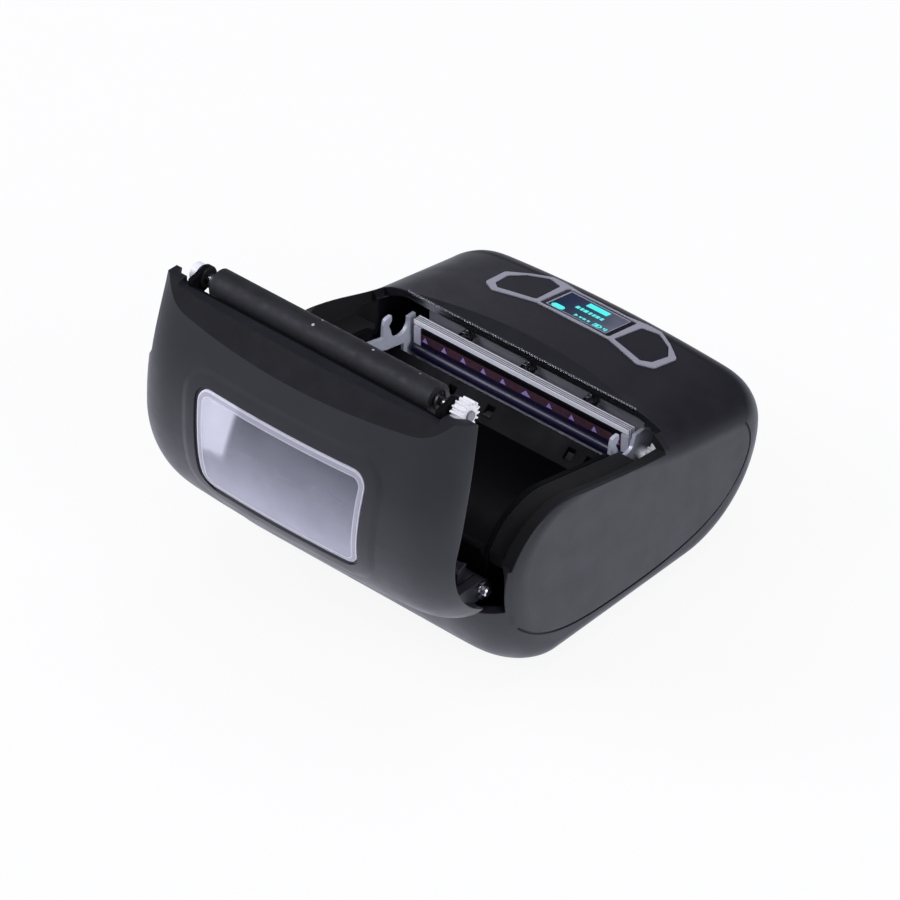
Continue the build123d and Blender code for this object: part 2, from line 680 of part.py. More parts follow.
# Casing shared by the case and the cover: outside form, inside form with the two mouth beams left solid
outer = casing(0)
inner = casing(WALL)
with BuildPart() as cavity:
    add(inner)
    with BuildSketch(side_plane(-BEAM_HALF)):
        with BuildLine():
            Polyline((COVER_BEAM_REAR, COVER_BEAM_BOTTOM), (MOUTH_Y, COVER_BEAM_BOTTOM), (MOUTH_Y, CROWN),
                     (COVER_BEAM_REAR, CROWN), close=True)
        make_face()
        with BuildLine():
            Polyline((TEAR_SEAT_Y, CASE_BEAM_BOTTOM), (TEAR_SEAT_Y + CASE_BEAM_DEPTH, CASE_BEAM_BOTTOM),
                     (TEAR_SEAT_Y + CASE_BEAM_DEPTH, CROWN), (TEAR_SEAT_Y, CROWN), close=True)
        make_face()
    extrude(amount=2 * BEAM_HALF, mode=Mode.SUBTRACT)
    corner_x = CHEEK_X + CHEEK_WIDTH + SEAM_GAP
    for x in ((-HALF_WIDTH, -corner_x), (corner_x, HALF_WIDTH)):
        add(block(x, (CORNER_REAR, MOUTH_Y), (CORNER_BOTTOM, CROWN)), mode=Mode.SUBTRACT)
    add(block((-corner_x, corner_x), (CORNER_REAR, MOUTH_Y), (COVER_BEAM_BOTTOM, CROWN)), mode=Mode.SUBTRACT)
shell = outer - cavity.part
groove_floor = casing(GROOVE_DEPTH)

# Grooves along both sides of the case
with BuildPart() as grooves:
    for side in (-HALF_WIDTH - 1, HALF_WIDTH - 7):
        with BuildSketch(side_plane(side)):
            with BuildLine() as sweep_line:
                Spline((5.0, -12.2), (19.0, -21.2), (45.8, -25.2), (75.0, -24.4),
                       (99.3, -15.6), (106.6, -3.9),
                       (104.3, 4.9))
            trace(sweep_line.line, line_width=GROOVE_WIDTH)
        extrude(amount=8)
    add(groove_floor, mode=Mode.SUBTRACT)

# Left shoulder and the rim of the cover that stands beside it
with BuildPart() as left_shoulder:
    add(outer)
    add(shoulder(0, -HALF_WIDTH - 1, HALF_WIDTH + 1 - SHOULDER_X), mode=Mode.INTERSECT)
with BuildPart() as cover_rim:
    add(outer)
    add(block((-HALF_WIDTH - 1, WALL - SHOULDER_X), (SHOULDER_REAR - WALL, MOUTH_Y - SEAM_GAP / 2),
              (0, CROWN)),
        mode=Mode.INTERSECT)

# Main case
with BuildPart() as main_case:
    add(shell)
    extrude(above_seam(-SEAM_GAP / 2, MOUTH_Y + SEAM_GAP / 2), amount=WIDTH + 2, mode=Mode.SUBTRACT)
    # Shoulder on the left side, up to the casing's surface
    add(left_shoulder.part)
    # Paper slot and the crescent face ahead of it
    add(block((-SLOT_HALF, SLOT_HALF), (MOUTH_Y - 2, TEAR_SEAT_Y), (CASE_BEAM_BOTTOM - 3, CROWN)),
        mode=Mode.SUBTRACT)
    with BuildSketch(side_plane(-HALF_WIDTH)):
        with BuildLine():
            Polyline((TEAR_Y, CASE_FACET_Z), (TEAR_Y + 20, CASE_FACET_Z + 20 * CASE_FACET_RISE),
                     (TEAR_Y + 20, CROWN), (TEAR_Y, CROWN), close=True)
        make_face()
    extrude(amount=WIDTH, mode=Mode.SUBTRACT)
    # Bands beside the paper bay, under the seam
    add(side_band(-BAND_OUTER_X))
    add(side_band(BIN_OUTER_X + SEAM_GAP))
    # Hinge lugs in the rear wall, and notches that the cover's arms swing through
    for side in (1, -1):
        lug = min(side * LUG_INNER_X, side * (LUG_INNER_X + LUG_WIDTH))
        with BuildSketch(side_plane(lug)):
            with BuildLine():
                Polyline((-4.8, -9.5), (-4.8, BOSS_RADIUS), (0, BOSS_RADIUS), (BOSS_RADIUS, 0),
                         (1.0, -BOSS_RADIUS), close=True)
            make_face()
            Circle(BOSS_RADIUS)
        extrude(amount=LUG_WIDTH)
        add(block(sorted((side * (LUG_INNER_X + LUG_WIDTH), side * NOTCH_END_X)), (REAR - 2, 3.2),
                  (-NOTCH_DEPTH, 2 * BOSS_RADIUS + 6)), mode=Mode.SUBTRACT)
    add(disc(-PIN_END_X, 2 * PIN_END_X, 0, 0, PIN_RADIUS + PIN_FIT), mode=Mode.SUBTRACT)
    # Cradle ribs under the paper bay
    for x in (-CRADLE_X, CRADLE_X - CRADLE_WIDTH):
        with BuildSketch(side_plane(x)):
            with Locations((ROLL_Y, BASE + WALL + 3.5)):
                Rectangle(40, 9)
            with Locations((ROLL_Y, ROLL_Z)):
                Circle(ROLL_RADIUS + BIN_WALL + SEAT, mode=Mode.SUBTRACT)
        extrude(amount=CRADLE_WIDTH)
    # Posts for the mechanism and the main board
    with BuildSketch(level_plane(BASE + WALL - 1)):
        for y in (POST_REAR_Y, POST_FRONT_Y):
            with Locations((-POST_X, y), (POST_X, y)):
                Circle(POST_RADIUS)
    extrude(amount=DECK_TOP - DECK_THICKNESS - BASE - WALL + 1)
    for y, foot in ((MAIN_BOARD_REAR_Y + 3, -32.0), (MAIN_BOARD_FRONT_Y - 3, -27.0)):
        with BuildSketch(level_plane(foot)):
            with Locations((MAIN_BOARD_LEFT + 5, y), (MAIN_BOARD_RIGHT - 5, y)):
                Circle(POST_RADIUS)
        extrude(amount=MAIN_BOARD_TOP - MAIN_BOARD_THICKNESS - foot)
    # Base plate: recess, hatch and screw bosses
    with BuildSketch(level_plane(BASE)):
        with Locations((0, (PLATE_REAR_Y + PLATE_FRONT_Y) / 2)):
            RectangleRounded(2 * (PLATE_HALF + PLATE_FIT), PLATE_FRONT_Y - PLATE_REAR_Y + 2 * PLATE_FIT,
                             PLATE_CORNER + PLATE_FIT)
    extrude(amount=PLATE_DEPTH + 0.1, mode=Mode.SUBTRACT)
    with BuildSketch(level_plane(BASE)):
        with Locations((0, (HATCH_REAR_Y + HATCH_FRONT_Y) / 2)):
            Rectangle(2 * HATCH_HALF, HATCH_FRONT_Y - HATCH_REAR_Y)
    extrude(amount=WALL + 1, mode=Mode.SUBTRACT)
    with BuildSketch(level_plane(BASE + PLATE_DEPTH + 0.1)):
        for y in (SCREW_REAR_Y, SCREW_FRONT_Y):
            with Locations((-SCREW_X, y), (SCREW_X, y)):
                Circle(POST_RADIUS)
    extrude(amount=6)
    with BuildSketch(level_plane(BASE)):
        for y in (SCREW_REAR_Y, SCREW_FRONT_Y):
            with Locations((-SCREW_X, y), (SCREW_X, y)):
                Circle(SCREW_RADIUS + SCREW_FIT)
    extrude(amount=6, mode=Mode.SUBTRACT)
    # Charging socket in the left side
    with BuildSketch(side_plane(-HALF_WIDTH - 1)):
        with Locations((SOCKET_Y, MAIN_BOARD_TOP + SOCKET_HEIGHT / 2 + SEAT)):
            RectangleRounded(SOCKET_WIDTH + 2 * SOCKET_FIT, SOCKET_HEIGHT + 2 * SOCKET_FIT,
                             SOCKET_HEIGHT / 2)
    extrude(amount=8, mode=Mode.SUBTRACT)
    add(grooves.part, mode=Mode.SUBTRACT)

# Recess for the control panel's bezel, with holes for the buttons and the screen
with BuildPart() as bezel_recess:
    extrude(bezel_outline(PANEL_FIT), amount=6, both=True)
    add(panel_slab(4, -BEZEL_DEPTH - PANEL_FIT), mode=Mode.INTERSECT)
with BuildPart() as panel_holes:
    for side in (1, -1):
        extrude(key_outline(side, KEY_GAP), amount=6, both=True)
    extrude(screen_outline(SCREEN_HALF - 1, SCREEN_REAR + 0.4, SCREEN_FRONT - 0.4, 1.0), amount=6, both=True)
with BuildPart() as panel_bosses:
    with BuildSketch(panel_face(-BOARD_DEPTH)):
        for y in (CARD_REAR + 2.5, CARD_FRONT - 2.5):
            with Locations((-CARD_HALF + 2.5, y), (CARD_HALF - 2.5, y)):
                Circle(2.0)
                Circle(SCREW_RADIUS + SCREW_FIT, mode=Mode.SUBTRACT)
    extrude(amount=BOARD_DEPTH - WALL - 0.8)
main_case.part = main_case.part - bezel_recess.part - panel_holes.part + panel_bosses.part
main_case.part.label = "main_case"
export_step(main_case.part, "parts/main_case.step")

# Cover, with its window opening, crescent front face and hinge arms
with BuildPart() as paper_cover:
    add(shell)
    add(cover_rim.part)
    extrude(above_seam(SEAM_GAP / 2, MOUTH_Y - SEAM_GAP / 2), amount=WIDTH + 2, mode=Mode.INTERSECT)
    add(shoulder(SEAM_GAP, -HALF_WIDTH - 1, HALF_WIDTH + 1 - SHOULDER_X + SEAM_GAP), mode=Mode.SUBTRACT)
    add(facet_slab(), mode=Mode.SUBTRACT)
    add(block((-SLOT_END_X, SLOT_END_X), (MOUTH_Y - SLOT_RECESS, MOUTH_Y), (0, CROWN)), mode=Mode.SUBTRACT)
    for side in (1, -1):
        arm = min(side * ARM_X, side * (ARM_X + ARM_WIDTH))
        with BuildSketch(side_plane(arm)):
            with BuildLine():
                Polyline((-BOSS_RADIUS, 0), (-3.6, 8.2), (-1.6, 14.2), (1.6, 17.2), (3.2, 17.6),
                         (BOSS_RADIUS, 0), close=True)
            make_face()
            Circle(BOSS_RADIUS)
            Circle(PIN_RADIUS + PIN_FIT, mode=Mode.SUBTRACT)
        extrude(amount=ARM_WIDTH)
paper_cover.part = paper_cover.part.rotate(Axis((0, HINGE_Y, HINGE_HEIGHT), (1, 0, 0)), OPEN_ANGLE)
with BuildPart() as window_hole:
    extrude(window_outline(0), amount=CROWN + 2)
paper_cover.part = paper_cover.part - window_hole.part
paper_cover.part.label = "paper_cover"
export_step(paper_cover.part, "parts/paper_cover.step")

# Window tray
with BuildPart() as cover_window:
    extrude(window_outline(-WINDOW_GAP), amount=CROWN + 2)
    add(roof(0, TRAY_DEPTH), mode=Mode.INTERSECT)
with BuildPart() as window_flange:
    extrude(window_outline(FLANGE_WIDTH), amount=CROWN + 2)
    add(roof(WALL + WINDOW_GAP, TRAY_DEPTH), mode=Mode.INTERSECT)
with BuildPart() as tray_space:
    extrude(window_outline(-WINDOW_GAP - RIM_WIDTH), amount=CROWN + 2)
    add(roof(PANE_THICKNESS, TRAY_DEPTH + 3), mode=Mode.INTERSECT)
cover_window.part = cover_window.part + window_flange.part - tray_space.part
cover_window.part.label = "cover_window"
export_step(cover_window.part, "parts/cover_window.step")

# Frame under the cover's front that carries the platen
with BuildPart() as cover_frame:
    deck_top = COVER_BEAM_BOTTOM - SEAT
    deck_bottom = deck_top - 0.9
    deck_front = MOUTH_Y - SLOT_RECESS - SEAT
    with BuildSketch(side_plane(-CHEEK_X - CHEEK_WIDTH, OPEN_ANGLE)):
        with Locations(((deck_front + COVER_BEAM_REAR - 4) / 2, (deck_top + deck_bottom) / 2)):
            Rectangle(deck_front - COVER_BEAM_REAR + 4, deck_top - deck_bottom)
    extrude(amount=2 * (CHEEK_X + CHEEK_WIDTH))
    with BuildSketch(side_plane(-HEAD_HALF, OPEN_ANGLE)):
        with BuildLine():
            Polyline((PLATEN_Y - PLATEN_RADIUS - 1 - FRAME_DEPTH, deck_bottom),
                     (PLATEN_Y - PLATEN_RADIUS - 1 - FRAME_DEPTH, 13.6), (PLATEN_Y - PLATEN_RADIUS - 8, 12.0),
                     (PLATEN_Y - PLATEN_RADIUS - 1, 12.0),
                     (PLATEN_Y - PLATEN_RADIUS - 1, deck_bottom), close=True)
        make_face()
    extrude(amount=2 * HEAD_HALF)
    for x in (-CHEEK_X - CHEEK_WIDTH, CHEEK_X):
        with BuildSketch(side_plane(x, OPEN_ANGLE)):
            with BuildLine():
                Polyline((PLATEN_Y - CHEEK_RADIUS - 2, deck_top), (PLATEN_Y - CHEEK_RADIUS, PLATEN_Z),
                         (PLATEN_Y + CHEEK_RADIUS, PLATEN_Z), (PLATEN_Y + 2, deck_top), close=True)
            make_face()
            with Locations((PLATEN_Y, PLATEN_Z)):
                Circle(CHEEK_RADIUS)
        extrude(amount=CHEEK_WIDTH)
    add(disc(-CHEEK_X - CHEEK_WIDTH, 2 * (CHEEK_X + CHEEK_WIDTH), PLATEN_Y, PLATEN_Z, BUSH_RADIUS,
             OPEN_ANGLE), mode=Mode.SUBTRACT)
    # Comb of guide fins behind the roller
    for k in range(FIN_COUNT):
        with BuildSketch(side_plane((k - (FIN_COUNT - 1) / 2) * FIN_PITCH - 0.5, OPEN_ANGLE)):
            with BuildLine():
                Polyline((57.0, 12.0), (61.8, 12.0), (62.6, 6.6), (64.0, 4.6), (62.4, 3.8), (59.0, 6.6),
                         close=True)
            make_face()
            with Locations((PLATEN_Y, PLATEN_Z)):
                Circle(PLATEN_RADIUS + 0.5, mode=Mode.SUBTRACT)
        extrude(amount=1.0)
cover_frame.part.label = "cover_frame"
export_step(cover_frame.part, "parts/cover_frame.step")

# Platen: shaft, rubber roller, bushes, clips and gear
with BuildPart() as platen_shaft:
    add(disc(SHAFT_LEFT, SHAFT_RIGHT - SHAFT_LEFT, PLATEN_Y, PLATEN_Z, JOURNAL_RADIUS, OPEN_ANGLE))
    add(disc(-PLATEN_HALF - 0.6, 2 * PLATEN_HALF + 1.2, PLATEN_Y, PLATEN_Z, SHAFT_RADIUS, OPEN_ANGLE))
platen_shaft.part.label = "platen_shaft"
export_step(platen_shaft.part, "parts/platen_shaft.step")

with BuildPart() as platen_roller:
    add(disc(-PLATEN_HALF, 2 * PLATEN_HALF, PLATEN_Y, PLATEN_Z, PLATEN_RADIUS, OPEN_ANGLE))
    add(disc(-PLATEN_HALF, 2 * PLATEN_HALF, PLATEN_Y, PLATEN_Z, SHAFT_RADIUS, OPEN_ANGLE), mode=Mode.SUBTRACT)
platen_roller.part.label = "platen_roller"
export_step(platen_roller.part, "parts/platen_roller.step")

with BuildPart() as platen_bushes:
    for side in (1, -1):
        sleeve = min(side * (CHEEK_X - 0.4), side * (CHEEK_X + CHEEK_WIDTH + 0.4))
        collar = min(side * (CHEEK_X - 0.4), side * CHEEK_X)
        add(disc(sleeve, CHEEK_WIDTH + 0.8, PLATEN_Y, PLATEN_Z, BUSH_RADIUS, OPEN_ANGLE))
        add(disc(collar, 0.4, PLATEN_Y, PLATEN_Z, BUSH_RADIUS + 0.6, OPEN_ANGLE))
    add(disc(-HALF_WIDTH, WIDTH, PLATEN_Y, PLATEN_Z, JOURNAL_RADIUS + JOURNAL_FIT, OPEN_ANGLE),
        mode=Mode.SUBTRACT)
platen_bushes.part.label = "platen_bushes"
export_step(platen_bushes.part, "parts/platen_bushes.step")

with BuildPart() as platen_clips:
    for x in (-CHEEK_X + CHEEK_CLIP_GAP, CHEEK_X - CHEEK_CLIP_GAP - CLIP_THICKNESS):
        with BuildSketch(side_plane(x, OPEN_ANGLE)):
            with Locations((PLATEN_Y, PLATEN_Z)):
                Circle(3.1)
                Circle(JOURNAL_RADIUS, mode=Mode.SUBTRACT)
            with Locations((PLATEN_Y + 2.5, PLATEN_Z)):
                Rectangle(5, 2.2, mode=Mode.SUBTRACT)
        extrude(amount=CLIP_THICKNESS)
    add(disc(SHAFT_LEFT + 0.2, 2.2, PLATEN_Y, PLATEN_Z, 2.9, OPEN_ANGLE))
    add(disc(SHAFT_LEFT, 4, PLATEN_Y, PLATEN_Z, JOURNAL_RADIUS, OPEN_ANGLE), mode=Mode.SUBTRACT)
platen_clips.part.label = "platen_clips"
export_step(platen_clips.part, "parts/platen_clips.step")

with BuildPart() as platen_gear:
    extrude(gear_outline(PLATEN_TEETH, GEAR_X, PLATEN_Y, PLATEN_Z, 90, OPEN_ANGLE), amount=GEAR_WIDTH)
    add(disc(GEAR_X - 0.6, 0.6, PLATEN_Y, PLATEN_Z, 2.6, OPEN_ANGLE))
    add(disc(GEAR_X - 1, GEAR_WIDTH + 2, PLATEN_Y, PLATEN_Z, JOURNAL_RADIUS, OPEN_ANGLE), mode=Mode.SUBTRACT)
platen_gear.part.label = "platen_gear"
export_step(platen_gear.part, "parts/platen_gear.step")

# Hinge pin and its clips
with BuildPart() as hinge_pin:
    add(disc(-PIN_END_X, 2 * PIN_END_X, 0, 0, PIN_RADIUS))
    chamfer(hinge_pin.edges().filter_by(GeomType.CIRCLE), 0.3)
hinge_pin.part.label = "hinge_pin"
export_step(hinge_pin.part, "parts/hinge_pin.step")

with BuildPart() as hinge_clips:
    for side in (1, -1):
        near = ARM_X + ARM_WIDTH + SIDE_PLAY
        with BuildSketch(side_plane(min(side * near, side * (near + CLIP_THICKNESS)))):
            Circle(CLIP_RADIUS)
            Circle(PIN_RADIUS, mode=Mode.SUBTRACT)
            with Locations((-2, 0)):
                Rectangle(4, 2.0, mode=Mode.SUBTRACT)
        extrude(amount=CLIP_THICKNESS)
hinge_clips.part.label = "hinge_clips"
export_step(hinge_clips.part, "parts/hinge_clips.step")

# Cutter strip: a straight comb of pointed teeth
with BuildPart() as tear_bar:
    count = int(2 * TEAR_HALF / TEAR_PITCH)
    teeth = []
    for k in range(count):
        left = -TEAR_HALF + k * TEAR_PITCH
        teeth += [(left, TEAR_ROOT), (left + TEAR_PITCH / 2, TEAR_TIP)]
    with BuildSketch(front_plane(TEAR_SEAT_Y)):
        with BuildLine():
            Polyline((-TEAR_HALF, TEAR_BOTTOM), *teeth, (TEAR_HALF, TEAR_ROOT), (TEAR_HALF, TEAR_BOTTOM),
                     close=True)
        make_face()
    extrude(amount=TEAR_THICKNESS)
tear_bar.part.label = "tear_bar"
export_step(tear_bar.part, "parts/tear_bar.step")

# Paper bay: a trough with side walls that follow the seam, a rear lip and a front ramp
ramp_end = (BIN_FRONT_Y + RAMP_RUN, LEDGE_Z + RAMP_RISE)
with BuildPart() as paper_bin:
    with BuildSketch(side_plane(-BIN_OUTER_X)):
        with BuildLine():
            Line((BIN_REAR_Y, CROWN), (BIN_REAR_Y, ROLL_Z))
            CenterArc((ROLL_Y, ROLL_Z), ROLL_RADIUS + BIN_WALL, 180, 180)
            Polyline((BIN_FRONT_Y + BIN_WALL, ROLL_Z), (BIN_FRONT_Y + BIN_WALL, LEDGE_Z - 0.6),
                     (ramp_end[0], ramp_end[1] - BIN_WALL - 0.3), ramp_end,
                     (ramp_end[0] - 2, ramp_end[1] + 0.8),
                     (SIDE_WALL_FRONT_Y, ramp_end[1] + 0.8), (SIDE_WALL_FRONT_Y, CROWN), (BIN_REAR_Y, CROWN))
        make_face()
    extrude(amount=2 * BIN_OUTER_X)
    extrude(above_seam(-BAND_DROP, LENGTH), amount=WIDTH + 2, mode=Mode.SUBTRACT)
    with BuildSketch(side_plane(-BIN_HALF)):
        with BuildLine():
            Line((BIN_REAR_Y + BIN_WALL, CROWN), (BIN_REAR_Y + BIN_WALL, ROLL_Z))
            CenterArc((ROLL_Y, ROLL_Z), ROLL_RADIUS, 180, 180)
            Polyline((BIN_FRONT_Y, ROLL_Z), (BIN_FRONT_Y, LEDGE_Z), ramp_end, (ramp_end[0] + 2, ramp_end[1]),
                     (ramp_end[0] + 2, CROWN), (BIN_REAR_Y + BIN_WALL, CROWN))
        make_face()
    extrude(amount=2 * BIN_HALF, mode=Mode.SUBTRACT)
    add(disc(-BIN_HALF, 2 * BIN_HALF, BIN_REAR_Y + BIN_WALL / 2, LIP_Z, LIP_RADIUS))
    add(block((-BIN_HALF, BIN_HALF), (BIN_REAR_Y, BIN_REAR_Y + BIN_WALL), (ROLL_Z, LIP_Z)))
    for x in SLOT_PLACES:
        with BuildSketch(level_plane(ramp_end[1])):
            with Locations((x, BIN_FRONT_Y + RAMP_RUN / 2)):
                Rectangle(SLOT_SIZE, SLOT_SIZE)
        extrude(amount=-RAMP_RISE - BIN_WALL - 1, mode=Mode.SUBTRACT)
paper_bin.part.label = "paper_bin"
export_step(paper_bin.part, "parts/paper_bin.step")

with BuildPart() as paper_sensor:
    ramp_mid = LEDGE_Z + RAMP_RISE / 2
    sensor_half = SLOT_SIZE / 2 - SEAT
    add(block((SLOT_PLACES[1] - sensor_half, SLOT_PLACES[1] + sensor_half),
              (BIN_FRONT_Y + RAMP_RUN / 2 - sensor_half, BIN_FRONT_Y + RAMP_RUN / 2 + sensor_half),
              (ramp_mid - 3.4, ramp_mid - 0.8)))
paper_sensor.part.label = "paper_sensor"
export_step(paper_sensor.part, "parts/paper_sensor.step")

# Mechanism deck, side plates and the bar behind the print head
with BuildPart() as mechanism_frame:
    with BuildSketch(level_plane(DECK_TOP - DECK_THICKNESS)):
        with Locations((0, (DECK_REAR_Y + DECK_FRONT_Y) / 2)):
            Rectangle(2 * DECK_HALF, DECK_FRONT_Y - DECK_REAR_Y)
        for y in (POST_REAR_Y, POST_FRONT_Y):
            with Locations((-POST_X, y), (POST_X, y)):
                Circle(SCREW_RADIUS + SCREW_FIT, mode=Mode.SUBTRACT)
    extrude(amount=DECK_THICKNESS)
    with BuildSketch(level_plane(DECK_TOP - DECK_THICKNESS)):
        with GridLocations(19, 1, 4, 1):
            with Locations((0, (DECK_REAR_Y + BRACKET_Y) / 2)):
                SlotOverall(12, 4)
    extrude(amount=DECK_THICKNESS, mode=Mode.SUBTRACT)
mechanism_frame.part.label = "mechanism_frame"
export_step(mechanism_frame.part, "parts/mechanism_frame.step")

with BuildPart() as left_side_plate:
    extrude(hook_outline(-SIDE_PLATE_X - PLATE_THICKNESS), amount=PLATE_THICKNESS)
left_side_plate.part.label = "left_side_plate"
export_step(left_side_plate.part, "parts/left_side_plate.step")

with BuildPart() as right_side_plate:
    extrude(hook_outline(SIDE_PLATE_X), amount=PLATE_THICKNESS)
    with BuildSketch(side_plane(SIDE_PLATE_X)):
        with BuildLine():
            Polyline((SINK_BACK_Y - 5, 5.2), (SINK_BACK_Y - 3, 11.0), (SINK_BACK_Y + 1, 11.0), (IDLER_Y, 7.0),
                     (MOTOR_Y + MOTOR_RADIUS, 2.0), (MOTOR_Y + MOTOR_RADIUS, MOTOR_Z - MOTOR_RADIUS),
                     (MOTOR_Y - MOTOR_RADIUS, MOTOR_Z - MOTOR_RADIUS),
                     (SINK_BACK_Y - 5, DECK_TOP - DECK_THICKNESS),
                     close=True)
        make_face()
        with Locations((MOTOR_Y, MOTOR_Z)):
            Circle(3.0, mode=Mode.SUBTRACT)
    extrude(amount=PLATE_THICKNESS)
    with BuildSketch(side_plane(SIDE_PLATE_X)):
        with Locations((DRIVE_Y, DRIVE_Z), (IDLER_Y, IDLER_Z)):
            Circle(STUD_RADIUS)
    extrude(amount=PLATE_THICKNESS, mode=Mode.SUBTRACT)
right_side_plate.part.label = "right_side_plate"
export_step(right_side_plate.part, "parts/right_side_plate.step")

with BuildPart() as head_bracket:
    with BuildSketch(side_plane(-HEAD_HALF)):
        with BuildLine():
            bar_top = BRACKET_TOP - BRACKET_DEPTH / 2
            Polyline((BRACKET_Y, bar_top), (BRACKET_Y, DECK_TOP), (BRACKET_Y + BRACKET_DEPTH, DECK_TOP),
                     (BRACKET_Y + BRACKET_DEPTH, bar_top))
            CenterArc((BRACKET_Y + BRACKET_DEPTH / 2, bar_top), BRACKET_DEPTH / 2, 0, 180)
        make_face()
    extrude(amount=2 * HEAD_HALF)
head_bracket.part.label = "head_bracket"
export_step(head_bracket.part, "parts/head_bracket.step")

# Print head: heat sink with its ribbed rail, ceramic board and half-round cover
with BuildPart() as heat_sink:
    with BuildSketch(side_plane(-HEAD_HALF)):
        with BuildLine():
            Polyline((SINK_Y, DECK_TOP + SEAT), (SINK_BACK_Y, DECK_TOP + SEAT), (SINK_BACK_Y, RAIL_TOP),
                     (HEAD_Y, RAIL_TOP), (HEAD_Y, RAIL_BOTTOM), (SINK_Y, RAIL_BOTTOM), close=True)
        make_face()
        with Locations((HEAD_Y + 0.6, RAIL_TOP), (HEAD_Y + 1.3, RAIL_TOP), (HEAD_Y + 2.0, RAIL_TOP)):
            Rectangle(0.3, 0.6, mode=Mode.SUBTRACT)
    extrude(amount=2 * HEAD_HALF)
heat_sink.part.label = "heat_sink"
export_step(heat_sink.part, "parts/heat_sink.step")

with BuildPart() as head_board:
    add(block((-HEAD_HALF, HEAD_HALF), (HEAD_Y, SINK_Y), (BOARD_BOTTOM, BOARD_TOP)))
head_board.part.label = "head_board"
export_step(head_board.part, "parts/head_board.step")

with BuildPart() as head_cover:
    with BuildSketch(side_plane(-HEAD_HALF)):
        with Locations((SINK_Y - SEAT, HEAD_COVER_Z)):
            Circle(HEAD_COVER_RADIUS)
        with Locations((SINK_Y - SEAT + HEAD_COVER_RADIUS, HEAD_COVER_Z)):
            Rectangle(2 * HEAD_COVER_RADIUS, 2 * HEAD_COVER_RADIUS, mode=Mode.SUBTRACT)
    extrude(amount=2 * HEAD_HALF)
head_cover.part.label = "head_cover"
export_step(head_cover.part, "parts/head_cover.step")

# Springs that press the print head towards the platen
spring_run = SPRING_LENGTH - 2 * SPRING_WIRE
with BuildPart() as head_springs:
    path = spring_path(SPRING_RADIUS, SPRING_TURNS, spring_run)
    with BuildSketch(Plane(origin=path @ 0, z_dir=path % 0)) as wire:
        RegularPolygon(SPRING_WIRE / 2, 6)
    coil = sweep(wire.sketch, path, mode=Mode.PRIVATE)
    for x in SPRING_PLACES:
        seat = Plane(origin=(x, HINGE_Y + SINK_BACK_Y + SPRING_WIRE, HINGE_HEIGHT + SPRING_Z),
                     x_dir=(1, 0, 0), z_dir=(0, 1, 0))
        add(coil.moved(seat.location))
print("head spring least gap", round(least_spring_gap(SPRING_RADIUS, SPRING_TURNS, spring_run), 3))
head_springs.part.label = "head_springs"
export_step(head_springs.part, "parts/head_springs.step")

# Gear train from the motor to the platen
pinion_turn = (DRIVE_ANGLE + 180 - PINION_ANGLE) * IDLER_TEETH / PINION_TEETH
pinion_start = PINION_ANGLE + 180 + 180 / PINION_TEETH - pinion_turn
with BuildPart() as idler_gear:
    extrude(gear_outline(IDLER_TEETH, GEAR_X, IDLER_Y, IDLER_Z, DRIVE_ANGLE + 180), amount=GEAR_WIDTH)
    add(disc(GEAR_X - 1, GEAR_WIDTH + 2, IDLER_Y, IDLER_Z, STUD_RADIUS + GEAR_FIT), mode=Mode.SUBTRACT)
idler_gear.part.label = "idler_gear"
export_step(idler_gear.part, "parts/idler_gear.step")

with BuildPart() as drive_gear:
    extrude(gear_outline(DRIVE_TEETH, GEAR_X, DRIVE_Y, DRIVE_Z, DRIVE_ANGLE + 180 / DRIVE_TEETH),
            amount=GEAR_WIDTH)
    add(disc(GEAR_X - 1, GEAR_WIDTH + 2, DRIVE_Y, DRIVE_Z, STUD_RADIUS + GEAR_FIT), mode=Mode.SUBTRACT)
drive_gear.part.label = "drive_gear"
export_step(drive_gear.part, "parts/drive_gear.step")

with BuildPart() as motor_pinion:
    extrude(gear_outline(PINION_TEETH, GEAR_X, MOTOR_Y, MOTOR_Z, pinion_start), amount=GEAR_WIDTH)
    rotor_start = SIDE_PLATE_X - 1.6
    rotor_end = GEAR_X + GEAR_WIDTH + 0.6
    add(disc(rotor_start, rotor_end - rotor_start, MOTOR_Y, MOTOR_Z, MOTOR_SHAFT_RADIUS))
motor_pinion.part.label = "motor_pinion"
export_step(motor_pinion.part, "parts/motor_pinion.step")

with BuildPart() as gear_studs:
    plate_face = SIDE_PLATE_X + PLATE_THICKNESS
    for y, z in ((DRIVE_Y, DRIVE_Z), (IDLER_Y, IDLER_Z)):
        add(disc(SIDE_PLATE_X, GEAR_X + GEAR_WIDTH + 0.2 - SIDE_PLATE_X, y, z, STUD_RADIUS))
        add(disc(GEAR_X + GEAR_WIDTH + 0.2, 0.6, y, z, STUD_HEAD_RADIUS))
        add(disc(plate_face, GEAR_X - SEAT - plate_face, y, z, STUD_HEAD_RADIUS))
gear_studs.part.label = "gear_studs"
export_step(gear_studs.part, "parts/gear_studs.step")

with BuildPart() as feed_motor:
    can_end = SIDE_PLATE_X - 0.2
    add(disc(can_end - MOTOR_LENGTH, MOTOR_LENGTH, MOTOR_Y, MOTOR_Z, MOTOR_RADIUS))
    add(disc(can_end, 0.8, MOTOR_Y, MOTOR_Z, 2.6))
    add(disc(SIDE_PLATE_X - 1.8, 3, MOTOR_Y, MOTOR_Z, MOTOR_SHAFT_RADIUS + GEAR_FIT), mode=Mode.SUBTRACT)
feed_motor.part.label = "feed_motor"
export_step(feed_motor.part, "parts/feed_motor.step")

